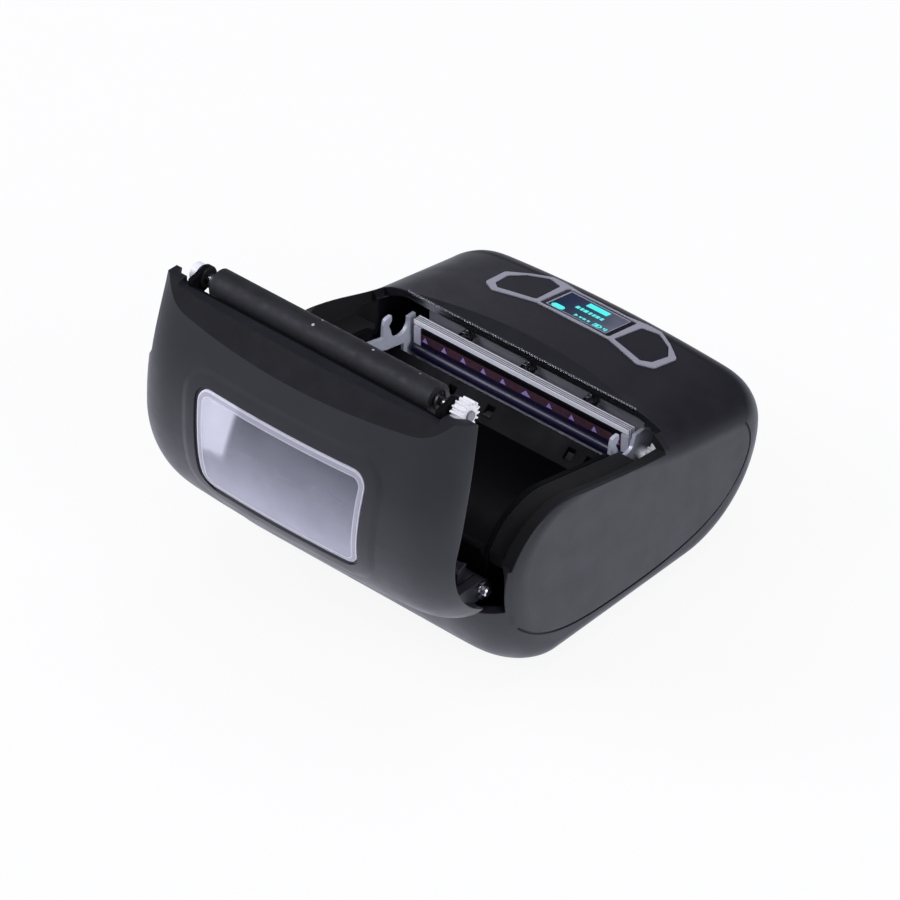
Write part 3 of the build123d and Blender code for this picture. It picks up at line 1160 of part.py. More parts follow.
# Control panel
with BuildPart() as control_bezel:
    extrude(bezel_outline(0), amount=6, both=True)
    add(panel_slab(BEZEL_PROUD, -BEZEL_DEPTH), mode=Mode.INTERSECT)
with BuildPart() as bezel_windows:
    for side in (1, -1):
        extrude(key_outline(side, KEY_GAP), amount=6, both=True)
    extrude(screen_outline(SCREEN_HALF + PANEL_FIT, SCREEN_REAR - PANEL_FIT,
                           SCREEN_FRONT + PANEL_FIT, 1.0), amount=6, both=True)
control_bezel.part = control_bezel.part - bezel_windows.part
control_bezel.part.label = "control_bezel"
export_step(control_bezel.part, "parts/control_bezel.step")

for side, title in ((1, "power_button"), (-1, "feed_button")):
    with BuildPart() as key:
        extrude(key_outline(side), amount=6, both=True)
        add(panel_slab(0.15, -KEY_DEPTH - KEY_FLANGE), mode=Mode.INTERSECT)
    with BuildPart() as key_foot:
        extrude(key_outline(side, 0.8), amount=6, both=True)
        add(panel_slab(-KEY_DEPTH, -KEY_DEPTH - KEY_FLANGE), mode=Mode.INTERSECT)
        with BuildSketch(panel_face(-BOARD_DEPTH + SWITCH_HEIGHT + SWITCH_TOP + KEY_TRAVEL + SEAM_GAP)):
            with Locations((side * KEY_CENTRE[0], KEY_CENTRE[1])):
                Circle(KEY_STEM_RADIUS)
        extrude(amount=BOARD_DEPTH - SWITCH_HEIGHT - SWITCH_TOP - KEY_TRAVEL - SEAM_GAP - KEY_DEPTH - 0.7)
    key.part = key.part + key_foot.part
    key.part.label = title
    export_step(key.part, f"parts/{title}.step")

with BuildPart() as screen_lens:
    extrude(screen_outline(SCREEN_HALF, SCREEN_REAR, SCREEN_FRONT, 0.8), amount=6, both=True)
    add(panel_slab(0.05, -BEZEL_DEPTH), mode=Mode.INTERSECT)
screen_lens.part.label = "screen_lens"
export_step(screen_lens.part, "parts/screen_lens.step")

with BuildPart() as display_module:
    display_top = BEZEL_DEPTH + SEAM_GAP
    extrude(screen_outline(DISPLAY_HALF, DISPLAY_REAR, DISPLAY_FRONT, 0.4, -display_top), amount=-1.9)
    extrude(screen_outline(DISPLAY_HALF - 2, DISPLAY_REAR + 2, DISPLAY_FRONT - 2, 0.4, -display_top),
            amount=display_top - BOARD_DEPTH)
display_module.part.label = "display_module"
export_step(display_module.part, "parts/display_module.step")

with BuildPart() as key_board:
    with BuildSketch(panel_face(-BOARD_DEPTH)):
        with Locations((0, (CARD_REAR + CARD_FRONT) / 2)):
            Rectangle(2 * CARD_HALF, CARD_FRONT - CARD_REAR)
        for y in (CARD_REAR + 2.5, CARD_FRONT - 2.5):
            with Locations((-CARD_HALF + 2.5, y), (CARD_HALF - 2.5, y)):
                Circle(SCREW_RADIUS + SCREW_FIT, mode=Mode.SUBTRACT)
    extrude(amount=-CARD_THICKNESS)
key_board.part.label = "key_board"
export_step(key_board.part, "parts/key_board.step")

with BuildPart() as key_switches:
    for side in (1, -1):
        with BuildSketch(panel_face(-BOARD_DEPTH)):
            with Locations((side * KEY_CENTRE[0], KEY_CENTRE[1])):
                Rectangle(SWITCH_SIZE, SWITCH_SIZE)
        extrude(amount=SWITCH_HEIGHT)
        with BuildSketch(panel_face(-BOARD_DEPTH + SWITCH_HEIGHT)):
            with Locations((side * KEY_CENTRE[0], KEY_CENTRE[1])):
                Circle(1.2)
        extrude(amount=SWITCH_TOP)
key_switches.part.label = "key_switches"
export_step(key_switches.part, "parts/key_switches.step")

with BuildPart() as board_screws:
    for y in (CARD_REAR + 2.5, CARD_FRONT - 2.5):
        with BuildSketch(panel_face(-BOARD_DEPTH - CARD_THICKNESS)):
            with Locations((-CARD_HALF + 2.5, y), (CARD_HALF - 2.5, y)):
                Circle(SCREW_RADIUS)
        extrude(amount=4)
        with BuildSketch(panel_face(-BOARD_DEPTH - CARD_THICKNESS)):
            with Locations((-CARD_HALF + 2.5, y), (CARD_HALF - 2.5, y)):
                Circle(SCREW_HEAD_RADIUS)
        extrude(amount=-1.2)
board_screws.part.label = "board_screws"
export_step(board_screws.part, "parts/board_screws.step")

with BuildPart() as deck_screws:
    for y in (POST_REAR_Y, POST_FRONT_Y):
        with BuildSketch(level_plane(DECK_TOP)):
            with Locations((-POST_X, y), (POST_X, y)):
                Circle(SCREW_HEAD_RADIUS)
        extrude(amount=1.2)
        with BuildSketch(level_plane(DECK_TOP)):
            with Locations((-POST_X, y), (POST_X, y)):
                Circle(SCREW_RADIUS)
        extrude(amount=-DECK_THICKNESS)
deck_screws.part.label = "deck_screws"
export_step(deck_screws.part, "parts/deck_screws.step")

# Base plate with its screws, and the battery that rests on its pads
with BuildPart() as bottom_cover:
    with BuildSketch(level_plane(BASE)):
        with Locations((0, (PLATE_REAR_Y + PLATE_FRONT_Y) / 2)):
            RectangleRounded(2 * PLATE_HALF, PLATE_FRONT_Y - PLATE_REAR_Y, PLATE_CORNER)
    extrude(amount=PLATE_DEPTH)
    with BuildSketch(level_plane(BASE + PLATE_DEPTH)):
        with Locations((-20, 68.5), (20, 68.5)):
            Rectangle(16, 7)
    extrude(amount=BATTERY_BOTTOM - BASE - PLATE_DEPTH - SEAT)
    for y in (SCREW_REAR_Y, SCREW_FRONT_Y):
        with Locations(level_plane(BASE).location * Location((0, 0, 0), (180, 0, 0))):
            with Locations((-SCREW_X, -y), (SCREW_X, -y)):
                CounterSinkHole(SCREW_RADIUS + SCREW_FIT, SCREW_HEAD_RADIUS + SCREW_FIT, PLATE_DEPTH + 1)
bottom_cover.part.label = "bottom_cover"
export_step(bottom_cover.part, "parts/bottom_cover.step")

with BuildPart() as bottom_screws:
    for x in (-SCREW_X, SCREW_X):
        for y in (SCREW_REAR_Y, SCREW_FRONT_Y):
            with BuildSketch(Plane(origin=(x, HINGE_Y + y, HINGE_HEIGHT + BASE), x_dir=(1, 0, 0),
                                   z_dir=(0, -1, 0))):
                with BuildLine():
                    taper = SCREW_HEAD_RADIUS - SCREW_RADIUS
                    Polyline((0, 0.05), (SCREW_HEAD_RADIUS - 0.1, 0.05), (SCREW_RADIUS, taper + 0.05),
                             (SCREW_RADIUS, 5.4), (0, 5.4), close=True)
                make_face()
            revolve(axis=Axis((x, HINGE_Y + y, 0), (0, 0, 1)))
bottom_screws.part.label = "bottom_screws"
export_step(bottom_screws.part, "parts/bottom_screws.step")

with BuildPart() as battery_pack:
    add(block((-BATTERY_HALF, BATTERY_HALF), (BATTERY_REAR_Y, BATTERY_FRONT_Y),
              (BATTERY_BOTTOM, BATTERY_BOTTOM + BATTERY_HEIGHT)))
    fillet(battery_pack.edges().filter_by(Axis.X), 4.0)
battery_pack.part.label = "battery_pack"
export_step(battery_pack.part, "parts/battery_pack.step")

# Main board and the charging socket
with BuildPart() as main_board:
    with BuildSketch(level_plane(MAIN_BOARD_TOP - MAIN_BOARD_THICKNESS)):
        with Locations(((MAIN_BOARD_LEFT + MAIN_BOARD_RIGHT) / 2,
                        (MAIN_BOARD_REAR_Y + MAIN_BOARD_FRONT_Y) / 2)):
            Rectangle(MAIN_BOARD_RIGHT - MAIN_BOARD_LEFT, MAIN_BOARD_FRONT_Y - MAIN_BOARD_REAR_Y)
    extrude(amount=MAIN_BOARD_THICKNESS)
    with BuildSketch(level_plane(MAIN_BOARD_TOP)):
        with Locations((-20, 97), (4, 99)):
            Rectangle(9, 9)
    extrude(amount=1.2)
main_board.part.label = "main_board"
export_step(main_board.part, "parts/main_board.step")

with BuildPart() as usb_socket:
    with BuildSketch(side_plane(-HALF_WIDTH + 0.4)):
        with Locations((SOCKET_Y, MAIN_BOARD_TOP + SOCKET_HEIGHT / 2 + SEAT)):
            RectangleRounded(SOCKET_WIDTH, SOCKET_HEIGHT, SOCKET_HEIGHT / 2 - 0.1)
            RectangleRounded(SOCKET_WIDTH - 0.6, SOCKET_HEIGHT - 0.6, SOCKET_HEIGHT / 2 - 0.4,
                             mode=Mode.SUBTRACT)
    extrude(amount=SOCKET_LENGTH)
    with BuildSketch(side_plane(-HALF_WIDTH + 0.4 + SOCKET_LENGTH)):
        with Locations((SOCKET_Y, MAIN_BOARD_TOP + SOCKET_HEIGHT / 2 + SEAT)):
            RectangleRounded(SOCKET_WIDTH, SOCKET_HEIGHT, SOCKET_HEIGHT / 2 - 0.1)
    extrude(amount=-1.0)
    with BuildSketch(side_plane(-HALF_WIDTH + 1.4)):
        with Locations((SOCKET_Y, MAIN_BOARD_TOP + SOCKET_HEIGHT / 2 + SEAT)):
            Rectangle(SOCKET_WIDTH - 3.2, 0.7)
    extrude(amount=SOCKET_LENGTH - 1.5)
usb_socket.part.label = "usb_socket"
export_step(usb_socket.part, "parts/usb_socket.step")
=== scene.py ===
from math import cos, inf, pi, radians, sin

import bmesh
import bpy
from mathutils import Matrix, Vector


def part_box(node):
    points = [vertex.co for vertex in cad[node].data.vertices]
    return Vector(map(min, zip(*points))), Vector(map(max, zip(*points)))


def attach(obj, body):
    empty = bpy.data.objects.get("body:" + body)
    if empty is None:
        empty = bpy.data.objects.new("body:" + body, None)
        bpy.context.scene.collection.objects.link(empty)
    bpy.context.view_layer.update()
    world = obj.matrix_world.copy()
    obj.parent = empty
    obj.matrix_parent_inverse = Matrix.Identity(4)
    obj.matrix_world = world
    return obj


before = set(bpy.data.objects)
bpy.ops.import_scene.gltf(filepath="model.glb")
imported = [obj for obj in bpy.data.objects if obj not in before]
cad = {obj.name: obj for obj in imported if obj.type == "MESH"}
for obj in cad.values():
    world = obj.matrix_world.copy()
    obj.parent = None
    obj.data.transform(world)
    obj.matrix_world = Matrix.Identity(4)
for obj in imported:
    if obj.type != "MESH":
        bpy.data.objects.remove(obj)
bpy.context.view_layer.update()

# A millimetre in metres, and the middle of the cover's hinge axis
MM = 0.001
HINGE = Vector((0.0, -0.0565, 0.0347))

# The picture's view: turn, rise and distance of the camera, the nearest and furthest that it sees, its lens,
# and where the hinge axis falls in the picture
VIEW_TURN = radians(41.608)
VIEW_RISE = radians(37.146)
VIEW_DISTANCE = 1.6149
NEAREST = 0.05
FURTHEST = 100
LENS = 226.56
SENSOR = 36.0
PICTURE = 900
HINGE_PICTURE_X = 352.63
HINGE_PICTURE_Y = 517.96

# Light: its cool cast, where the lamps aim, and each lamp's name, place, size and power
WHITE = (1.0, 1.0, 1.0)
COOL = (0.87, 0.88, 1.0)
AIM = Vector((0, 0, 0.04))
LAMPS = (("key", (-1.2, -1.2, 1.35), (1.1, 1.1), 29),
         ("fill", (1.8, -0.35, 0.95), (0.9, 1.2), 22),
         ("top", (0.1, 0.5, 1.8), (1.4, 1.0), 8))

# Floor: size, place, colour, share of plain white over its shadow, and how its mirrored light fades, as
# near and far distance with the strength at each
FLOOR_SIZE = 30
FLOOR_DROP = 0.0002
FLOOR_GREY = (0.86, 0.86, 0.86)
FLOOR_LIFT = 0.9
FLOOR_FADE = (0.16, 0.42, 1.25, 0.45)

# Room: its plain light, and how its mirrored light fades with height, as low and high facing with the
# strength at each
ROOM_LIGHT = 0.38
ROOM_FADE = (0.05, 0.34, 0.9, 0.02)

# Moulded plastic: sizes of its clouds, worn patches, sheen and grain, the grain's depth, and how far and
# how pale its edges are rubbed
CLOUDS = 25 * MM
WORN_PATCHES = 6 * MM
SHEEN = 8 * MM
GRAIN = 0.5 * MM
GRAIN_DEPTH = 0.01 * MM
RUB = 0.35
RUBBED_LIGHTER = 2.2

# Faces of the case that the shut cover hides, where a blacker colour paints the shade of this recessed band.
# Each
# pair is where the change starts and ends: half width, behind and ahead, both from the hinge axis, and
# height
HIDDEN_HALF = (57.6 * MM, 58.2 * MM)
HIDDEN_BEHIND = (2 * MM, 4 * MM)
HIDDEN_AHEAD = (71 * MM, 72 * MM)
HIDDEN_HEIGHT = (24 * MM, 26 * MM)
RECESS_PAINTED_SHADE = (0.0030, 0.0030, 0.0036)
HIDDEN_DULLING = 0.3

# Crescent face of the raised cover: its facing, how far from the hinge axis it starts, its crown's radius
CRESCENT_FACING = Vector((0, -0.8012, 0.5984))
CRESCENT_FROM = (56.36 * MM, 56.42 * MM)
CRESCENT_BEND = 0.7965
# Painted shade of the crescent face: its blacker colour, and how much duller it is
CRESCENT_PAINTED_SHADE = (0.0030, 0.0029, 0.0042)
CRESCENT_DULLING = 0.50

# Window in the raised cover: heights above the hinge axis, half widths and corner. Its frosted rim, the
# rim's step and the rim's bright line start at distances from the shape a corner radius inside its outline
WINDOW_LOW = 14.6 * MM
WINDOW_HIGH = 47.4 * MM
WINDOW_LOW_HALF = 29.5 * MM
WINDOW_HIGH_HALF = 32.2 * MM
WINDOW_CORNER = 5.0 * MM
WINDOW_MIDDLE = (WINDOW_LOW + WINDOW_HIGH) / 2
WINDOW_REACH = (WINDOW_HIGH - WINDOW_LOW) / 2 - WINDOW_CORNER
RIM_FROM = (WINDOW_CORNER - 2.3 * MM, WINDOW_CORNER - 2.1 * MM)
RIM_STEP_FROM = (WINDOW_CORNER - 2.0 * MM, WINDOW_CORNER - 1.8 * MM)
RIM_LINE_FROM = (WINDOW_CORNER - 0.75 * MM, WINDOW_CORNER - 0.55 * MM)

# Haze in the window: how uneven its height is. The pale patch at one side is a painted reflection: how it
# bows from the lower to the upper edge, where it ends across, and at which share of the haze it ends above
HAZE_UNEVEN = 4 * MM
REFLECTION_BOW = (4 * MM, -3 * MM)
REFLECTION_FROM = (-20 * MM, -18 * MM)
REFLECTION_ABOVE = (0.45, 0.62)

# Raised field of the cover around the window: how far it reaches, the width and height of its soft edge,
# its sink into the cover, its wall, its gap to the window, and how it is first laid out behind the cover
FIELD_MARGIN = 6.6 * MM
FIELD_EDGE = 3.0 * MM
FIELD_RISE = 0.45 * MM
FIELD_SINK = 0.03 * MM
FIELD_WALL = 0.7 * MM
FIELD_GAP = 0.7 * MM
FIELD_STEPS = 6
FIELD_BEHIND = 5 * MM
FIELD_CORNER_STEPS = 10
FIELD_LONG_EDGE = 8 * MM
FIELD_LONG_CUTS = 20

# Print head: the heating strip's face, where its glaze and black band start above the hinge axis and where
# its bare ends start, and the triangles on it
HEAD_FACE_Y = HINGE.y + 72.4 * MM
GLAZE_FROM = (3.9 * MM, 4.3 * MM)
BLACK_BAND_FROM = (6.9 * MM, 7.1 * MM)
BARE_FROM = (38.6 * MM, 38.9 * MM)
MARK_Z = HINGE.z + 5.0 * MM
MARK_RADIUS = 1.25 * MM
MARK_CORNER = 0.12 * MM
MARK_THICKNESS = 0.06 * MM
MARK_SINK = 0.02 * MM
MARK_PLACES = (-37.0, -29.5, -22.0, -14.1, -6.5, 2.4, 11.4, 20.0, 28.6, 37.0)
WIDE_MARK = 5
WIDE_MARK_SPREAD = 1.7

# Painted shade of grooves along the rail, measured from the heating strip's face: middle of the first,
# pitch, and where they start and end
GROOVE_FIRST = 0.6 * MM
GROOVE_PITCH = 0.7 * MM
GROOVES_FROM = (0.30 * MM, 0.34 * MM)
GROOVES_TO = (2.26 * MM, 2.30 * MM)

# End clips of the platen: white on the left up to here, black beyond
BLACK_CLIP_FROM = (-44.6 * MM, -44.2 * MM)

# Control panel: its corner, its slope, and the screen's sizes across and down the slope
PANEL_CORNER = HINGE + Vector((0, 76.0 * MM, 21.5 * MM))
PANEL_SLOPE = radians(10.2)
SCREEN_HALF = 11.6 * MM
SCREEN_REAR = 21.6 * MM
SCREEN_FRONT = 33.6 * MM
LENS_TOP = 0.05 * MM
FACE_THICKNESS = 0.05 * MM
FACE_CORNER = 0.3 * MM
EDGE = 0.45 * MM
THIN_EDGE = 0.6 * EDGE
WIDE_EDGE = 1.3 * EDGE
EDGE_THICKNESS = 0.09 * MM
EDGE_CORNER = 0.08 * MM
SHAPE_HEIGHT = LENS_TOP + 0.045 * MM
SHAPE_THICKNESS = 0.04 * MM
ARROW_RADIUS = 0.85 * MM
ARROW_PLACE = (-1.2 * MM, 23.2 * MM)

# Plain shapes on the screen, in millimetres: width, length, corner, and place across and down the slope
SCREEN_SHAPES = (
    # Pill and bar
    (4.6, 2.3, 1.1, -8.0, 23.1),
    (8.0, 2.4, 0.25, 0.9, 31.2),
    # Row of blocks
    (1.3, 1.5, 0.15, -3.9, 27.4),
    (1.0, 1.5, 0.15, -2.3, 27.4),
    (1.4, 1.5, 0.15, -0.8, 27.4),
    (1.0, 1.5, 0.15, 0.9, 27.4),
    (0.9, 1.5, 0.15, 2.3, 27.4),
    (1.3, 1.5, 0.15, 3.7, 27.4),
    (1.0, 1.5, 0.15, 5.3, 27.4),
    # Row of small blocks
    (0.9, 0.9, 0.1, 0.6, 23.2),
    (1.1, 0.9, 0.1, 2.0, 23.2),
    (0.9, 0.9, 0.1, 3.6, 23.2),
    # Battery: four sides, filling and tip
    (2.6, 0.3, 0.08, 6.9, 24.0),
    (2.6, 0.3, 0.08, 6.9, 22.4),
    (0.3, 1.9, 0.08, 5.75, 23.2),
    (0.3, 1.9, 0.08, 8.05, 23.2),
    (1.2, 1.0, 0.08, 6.8, 23.2),
    (0.4, 0.8, 0.08, 8.4, 23.2),
    # Short and long bar
    (0.5, 1.0, 0.08, 9.5, 23.4),
    (0.5, 1.6, 0.08, 10.3, 23.1),
)


class Nodes:
    """Nodes of one material, or of the room."""

    def __init__(self, tree):
        self.tree = tree

    def make(self, kind, **settings):
        made = self.tree.nodes.new("ShaderNode" + kind)
        for key, value in settings.items():
            setattr(made, key, value)
        return made

    def feed(self, socket, value):
        if isinstance(value, bpy.types.NodeSocket):
            self.tree.links.new(value, socket)
        else:
            socket.default_value = value

    def part(self, vector, axis):
        split = self.make("SeparateXYZ")
        self.feed(split.inputs[0], vector)
        return split.outputs[axis]

    def sums(self, operation, a, b=0.0):
        node = self.make("Math", operation=operation)
        self.feed(node.inputs[0], a)
        self.feed(node.inputs[1], b)
        return node.outputs[0]

    def times(self, first, *others):
        """Product of several values."""
        for other in others:
            first = self.sums("MULTIPLY", first, other)
        return first

    def span(self, value, low, high, at_low, at_high):
        """Value led from one range to another, and held at its ends."""
        node = self.make("MapRange")
        for slot, number in enumerate((value, low, high, at_low, at_high)):
            self.feed(node.inputs[slot], number)
        return node.outputs[0]

    def blend(self, share, a, b):
        """Number between two others."""
        node = self.make("Mix")
        for slot, number in ((0, share), (2, a), (3, b)):
            self.feed(node.inputs[slot], number)
        return node.outputs[0]

    def mix(self, share, a, b):
        """Colour between two others."""
        node = self.make("Mix", data_type="RGBA")
        self.feed(node.inputs[0], share)
        for slot, colour in ((6, a), (7, b)):
            linked = isinstance(colour, bpy.types.NodeSocket)
            self.feed(node.inputs[slot], colour if linked else (*colour, 1))
        return node.outputs[2]

    def layer(self, share, under, over):
        """Shader between two others."""
        node = self.make("MixShader")
        for slot, value in enumerate((share, under, over)):
            self.feed(node.inputs[slot], value)
        return node.outputs[0]


class Finish(Nodes):
    """A surface finish, patterned in the piece's own metres."""

    def __init__(self, name):
        self.material = bpy.data.materials.new(name)
        self.material.use_nodes = True
        super().__init__(self.material.node_tree)
        self.shader = self.tree.nodes["Principled BSDF"]
        self.place = self.make("TexCoord").outputs["Object"]

    def set(self, **values):
        """Plain values of the shader, by socket name with _ for a space."""
        for key, value in values.items():
            self.shader.inputs[key.replace("_", " ")].default_value = value

    def fed(self, name):
        """What already feeds a socket of the shader."""
        return self.shader.inputs[name].links[0].from_socket

    def from_hinge(self, axis):
        """Place along one axis, from the hinge axis."""
        return self.sums("SUBTRACT", self.part(self.place, axis), HINGE[axis])

    def from_middle(self):
        """Distance to either side of the object's middle."""
        return self.sums("ABSOLUTE", self.part(self.place, 0))

    def from_window(self):
        """Distance from the shape that lies a corner radius inside the window's outline."""
        half = self.span(self.from_hinge(2), WINDOW_LOW, WINDOW_HIGH, WINDOW_LOW_HALF - WINDOW_CORNER,
                         WINDOW_HIGH_HALF - WINDOW_CORNER)
        beside = self.sums("MAXIMUM", self.sums("SUBTRACT", self.from_middle(), half), 0)
        level = self.sums("ABSOLUTE", self.sums("SUBTRACT", self.from_hinge(2), WINDOW_MIDDLE))
        above = self.sums("MAXIMUM", self.sums("SUBTRACT", level, WINDOW_REACH), 0)
        return self.sums("SQRT", self.sums("ADD", self.times(beside, beside), self.times(above, above)))

    def noise(self, size, detail=2.0, stretch=(1, 1, 1)):
        """Soft random pattern whose features are size across, or longer where stretched."""
        mapping = self.make("Mapping")
        mapping.inputs["Scale"].default_value = [1 / s for s in stretch]
        self.feed(mapping.inputs["Vector"], self.place)
        noise = self.make("TexNoise")
        self.feed(noise.inputs["Vector"], mapping.outputs["Vector"])
        noise.inputs["Scale"].default_value = 1 / size
        noise.inputs["Detail"].default_value = detail
        return noise.outputs[0]

    def spots(self, size, chance):
        """Sparse round specks: 1 on a speck and 0 elsewhere."""
        cells = self.make("TexVoronoi")
        self.feed(cells.inputs["Vector"], self.place)
        cells.inputs["Scale"].default_value = 1 / size
        near = self.span(cells.outputs["Distance"], 0.10, 0.16, 1, 0)
        drawn = self.sums("GREATER_THAN", self.part(cells.outputs["Color"], 0), 1 - chance)
        return self.times(near, drawn)

    def soft_edges(self, radius):
        """Normal that runs smoothly over edges, as a moulded or rubbed edge does."""
        bevel = self.make("Bevel", samples=4)
        bevel.inputs["Radius"].default_value = radius
        return bevel.outputs["Normal"]

    def edge_mask(self, normal):
        """1 on an edge and 0 on the faces beside it."""
        facing = self.make("VectorMath", operation="DOT_PRODUCT")
        self.feed(facing.inputs[0], normal)
        self.feed(facing.inputs[1], self.make("NewGeometry").outputs["Normal"])
        return self.span(facing.outputs["Value"], 0.985, 0.85, 0, 1)

    def relief(self, height, depth, normal=None):
        """Fine relief, over softened edges where their normal is given."""
        bump = self.make("Bump")
        bump.inputs["Distance"].default_value = depth
        self.feed(bump.inputs["Height"], height)
        if normal is not None:
            self.feed(bump.inputs["Normal"], normal)
        self.feed(self.shader.inputs["Normal"], bump.outputs["Normal"])

    def colour(self, value):
        self.feed(self.shader.inputs["Base Color"], value)

    def roughness(self, value):
        self.feed(self.shader.inputs["Roughness"], value)

    def patterned(self, pattern, least, most):
        """Value that follows a random pattern from least to most."""
        return self.span(pattern, 0.3, 0.7, least, most)


def moulded(name, dark, light, rough, edge=0.5 * MM):
    """Moulded plastic: a cloudy colour, fine spark-eroded grain, softened and slightly rubbed edges."""
    skin = Finish(name)
    normal = skin.soft_edges(edge)
    clouds = skin.mix(skin.noise(CLOUDS), dark, light)
    rubbed = skin.times(skin.edge_mask(normal), skin.span(skin.noise(WORN_PATCHES), 0.35, 0.65, 0, RUB))
    skin.colour(skin.mix(rubbed, clouds, [c * RUBBED_LIGHTER for c in light]))
    skin.roughness(skin.patterned(skin.noise(SHEEN, 4), *rough))
    skin.relief(skin.noise(GRAIN, 1), GRAIN_DEPTH, normal)
    return skin


def metal(name, colour, worn, rough, grain=0.3 * MM, run=(30, 1, 1), depth=0.004 * MM, metallic=1.0):
    """Metal, or metal paint, with a fine grain that runs one way."""
    skin = Finish(name)
    skin.set(Metallic=metallic)
    lines = skin.noise(grain, 2, run)
    skin.colour(skin.mix(skin.times(lines, skin.noise(10 * MM)), colour, worn))
    skin.roughness(skin.patterned(lines, *rough))
    skin.relief(lines, depth, skin.soft_edges(0.2 * MM))
    return skin


def mottled(name, mottle, colours, rough, depth, edge=None, sheen=None, grain=None, **settings):
    """Finish patterned by one mottle, unless its sheen or grain is given as a pattern of its own."""
    skin = Finish(name)
    skin.set(**settings)
    skin.mottle = skin.noise(*mottle)
    skin.colour(skin.mix(skin.mottle, *colours))
    skin.roughness(skin.patterned(skin.noise(*sheen) if sheen else skin.mottle, *rough))
    normal = skin.soft_edges(edge) if edge else None
    skin.relief(skin.noise(*grain) if grain else skin.mottle, depth, normal)
    return skin


def painted_shade_faces(skin, where, black, dulling):
    """Paints shade on some faces of a finish, as a blacker colour, and makes them duller than the rest."""
    skin.colour(skin.mix(where, skin.fed("Base Color"), black))
    skin.roughness(skin.sums("ADD", skin.fed("Roughness"), skin.times(where, dulling)))


def recess_painted_shade(skin):
    """Paints shade as a blacker colour on the faces that the shut cover hides, and dulls them, unlike the
    outside.
    """
    inside = skin.times(skin.span(skin.from_middle(), *HIDDEN_HALF, 1, 0),
                        skin.span(skin.from_hinge(1), *HIDDEN_BEHIND, 0, 1),
                        skin.span(skin.from_hinge(1), *HIDDEN_AHEAD, 1, 0),
                        skin.span(skin.part(skin.place, 2), *HIDDEN_HEIGHT, 0, 1))
    painted_shade_faces(skin, inside, RECESS_PAINTED_SHADE, HIDDEN_DULLING)


def crescent_painted_shade(skin):
    """Paints shade as a blacker colour on the cover's crescent face, crowned along its width, and dulls it.
    """
    slant = skin.sums("ADD", skin.times(skin.from_hinge(1), CRESCENT_FACING.y),
                      skin.times(skin.from_hinge(2), CRESCENT_FACING.z))
    across = skin.part(skin.place, 0)
    crown = skin.times(across, across, 0.5 / CRESCENT_BEND)
    face = skin.span(skin.sums("ADD", slant, crown), *CRESCENT_FROM, 0, 1)
    painted_shade_faces(skin, face, CRESCENT_PAINTED_SHADE, CRESCENT_DULLING)


def window_plastic():
    """Clear moulded plastic, hazed towards its lower edge, with a bright line along its frosted rim."""
    skin = Finish("window_plastic")
    skin.set(IOR=1.45)
    up = skin.from_hinge(2)
    far = skin.from_window()
    rim = skin.span(far, *RIM_FROM, 0, 1)
    step = skin.sums("SUBTRACT", rim, skin.span(far, *RIM_STEP_FROM, 0, 1))
    line = skin.span(far, *RIM_LINE_FROM, 0, 1)
    haze = skin.noise(20 * MM, 3)
    uneven = skin.sums("ADD", up, skin.patterned(haze, -HAZE_UNEVEN, HAZE_UNEVEN))
    low = skin.span(uneven, WINDOW_LOW, WINDOW_HIGH, 1, 0)
    # Pale patch at one side, towards the top, also less clear: a painted reflection
    bowed = skin.sums("ADD", skin.part(skin.place, 0), skin.span(up, WINDOW_LOW, WINDOW_HIGH, *REFLECTION_BOW))
    painted_reflection = skin.times(skin.span(bowed, *REFLECTION_FROM, 1, 0), skin.span(low, *REFLECTION_ABOVE, 1, 0))
    tint = skin.mix(low, (0.40, 0.405, 0.48), (0.66, 0.66, 0.76))
    tint = skin.mix(painted_reflection, tint, (0.92, 0.92, 1.0))
    tint = skin.mix(rim, tint, (0.56, 0.56, 0.63))
    skin.colour(skin.mix(skin.sums("MAXIMUM", step, line), tint, (0.95, 0.95, 1.0)))
    skin.roughness(skin.sums("ADD", skin.patterned(haze, 0.12, 0.24), skin.times(rim, 0.25)))
    clear = skin.times(skin.span(skin.sums("MAXIMUM", low, painted_reflection), 0, 1, 0.80, 0.45),
                       skin.span(rim, 0, 1, 1, 0.6))
    skin.feed(skin.shader.inputs["Transmission Weight"], clear)
    skin.relief(skin.noise(4 * MM, 1), 0.02 * MM)
    return skin


def heating_strip():
    """Glazed strip in three bands: a black band above, a purple-brown glaze, and blue-black below."""
    skin = Finish("heating_strip")
    height = skin.from_hinge(2)
    mottle = skin.noise(1.5 * MM, 3)
    glaze = skin.mix(mottle, (0.055, 0.024, 0.034), (0.105, 0.052, 0.070))
    lower = skin.mix(mottle, (0.008, 0.008, 0.020), (0.018, 0.016, 0.045))
    banded = skin.mix(skin.span(height, *GLAZE_FROM, 0, 1), lower, glaze)
    banded = skin.mix(skin.span(height, *BLACK_BAND_FROM, 0, 1), banded, (0.006, 0.006, 0.008))
    skin.colour(skin.mix(skin.span(skin.from_middle(), *BARE_FROM, 0, 1), banded, (0.62, 0.62, 0.68)))
    skin.roughness(skin.patterned(mottle, 0.14, 0.26))
    skin.relief(mottle, 0.006 * MM)
    return skin


def circuit_board():
    """Solder mask over crossing tracks, with bare pads."""
    skin = Finish("solder_mask")
    tracks = skin.make("TexWave", wave_type="BANDS", bands_direction="X")
    skin.feed(tracks.inputs["Vector"], skin.place)
    for name, number in (("Scale", 260), ("Distortion", 6), ("Detail Scale", 0.4)):
        tracks.inputs[name].default_value = number
    lines = skin.span(tracks.outputs["Fac"], 0.55, 0.65, 0, 1)
    mask = skin.mix(lines, (0.012, 0.075, 0.035), (0.022, 0.125, 0.055))
    pads = skin.spots(4 * MM, 0.35)
    skin.colour(skin.mix(pads, mask, (0.62, 0.52, 0.30)))
    skin.feed(skin.shader.inputs["Metallic"], pads)
    skin.roughness(skin.span(lines, 0, 1, 0.35, 0.25))
    skin.relief(lines, 0.03 * MM)
    return skin


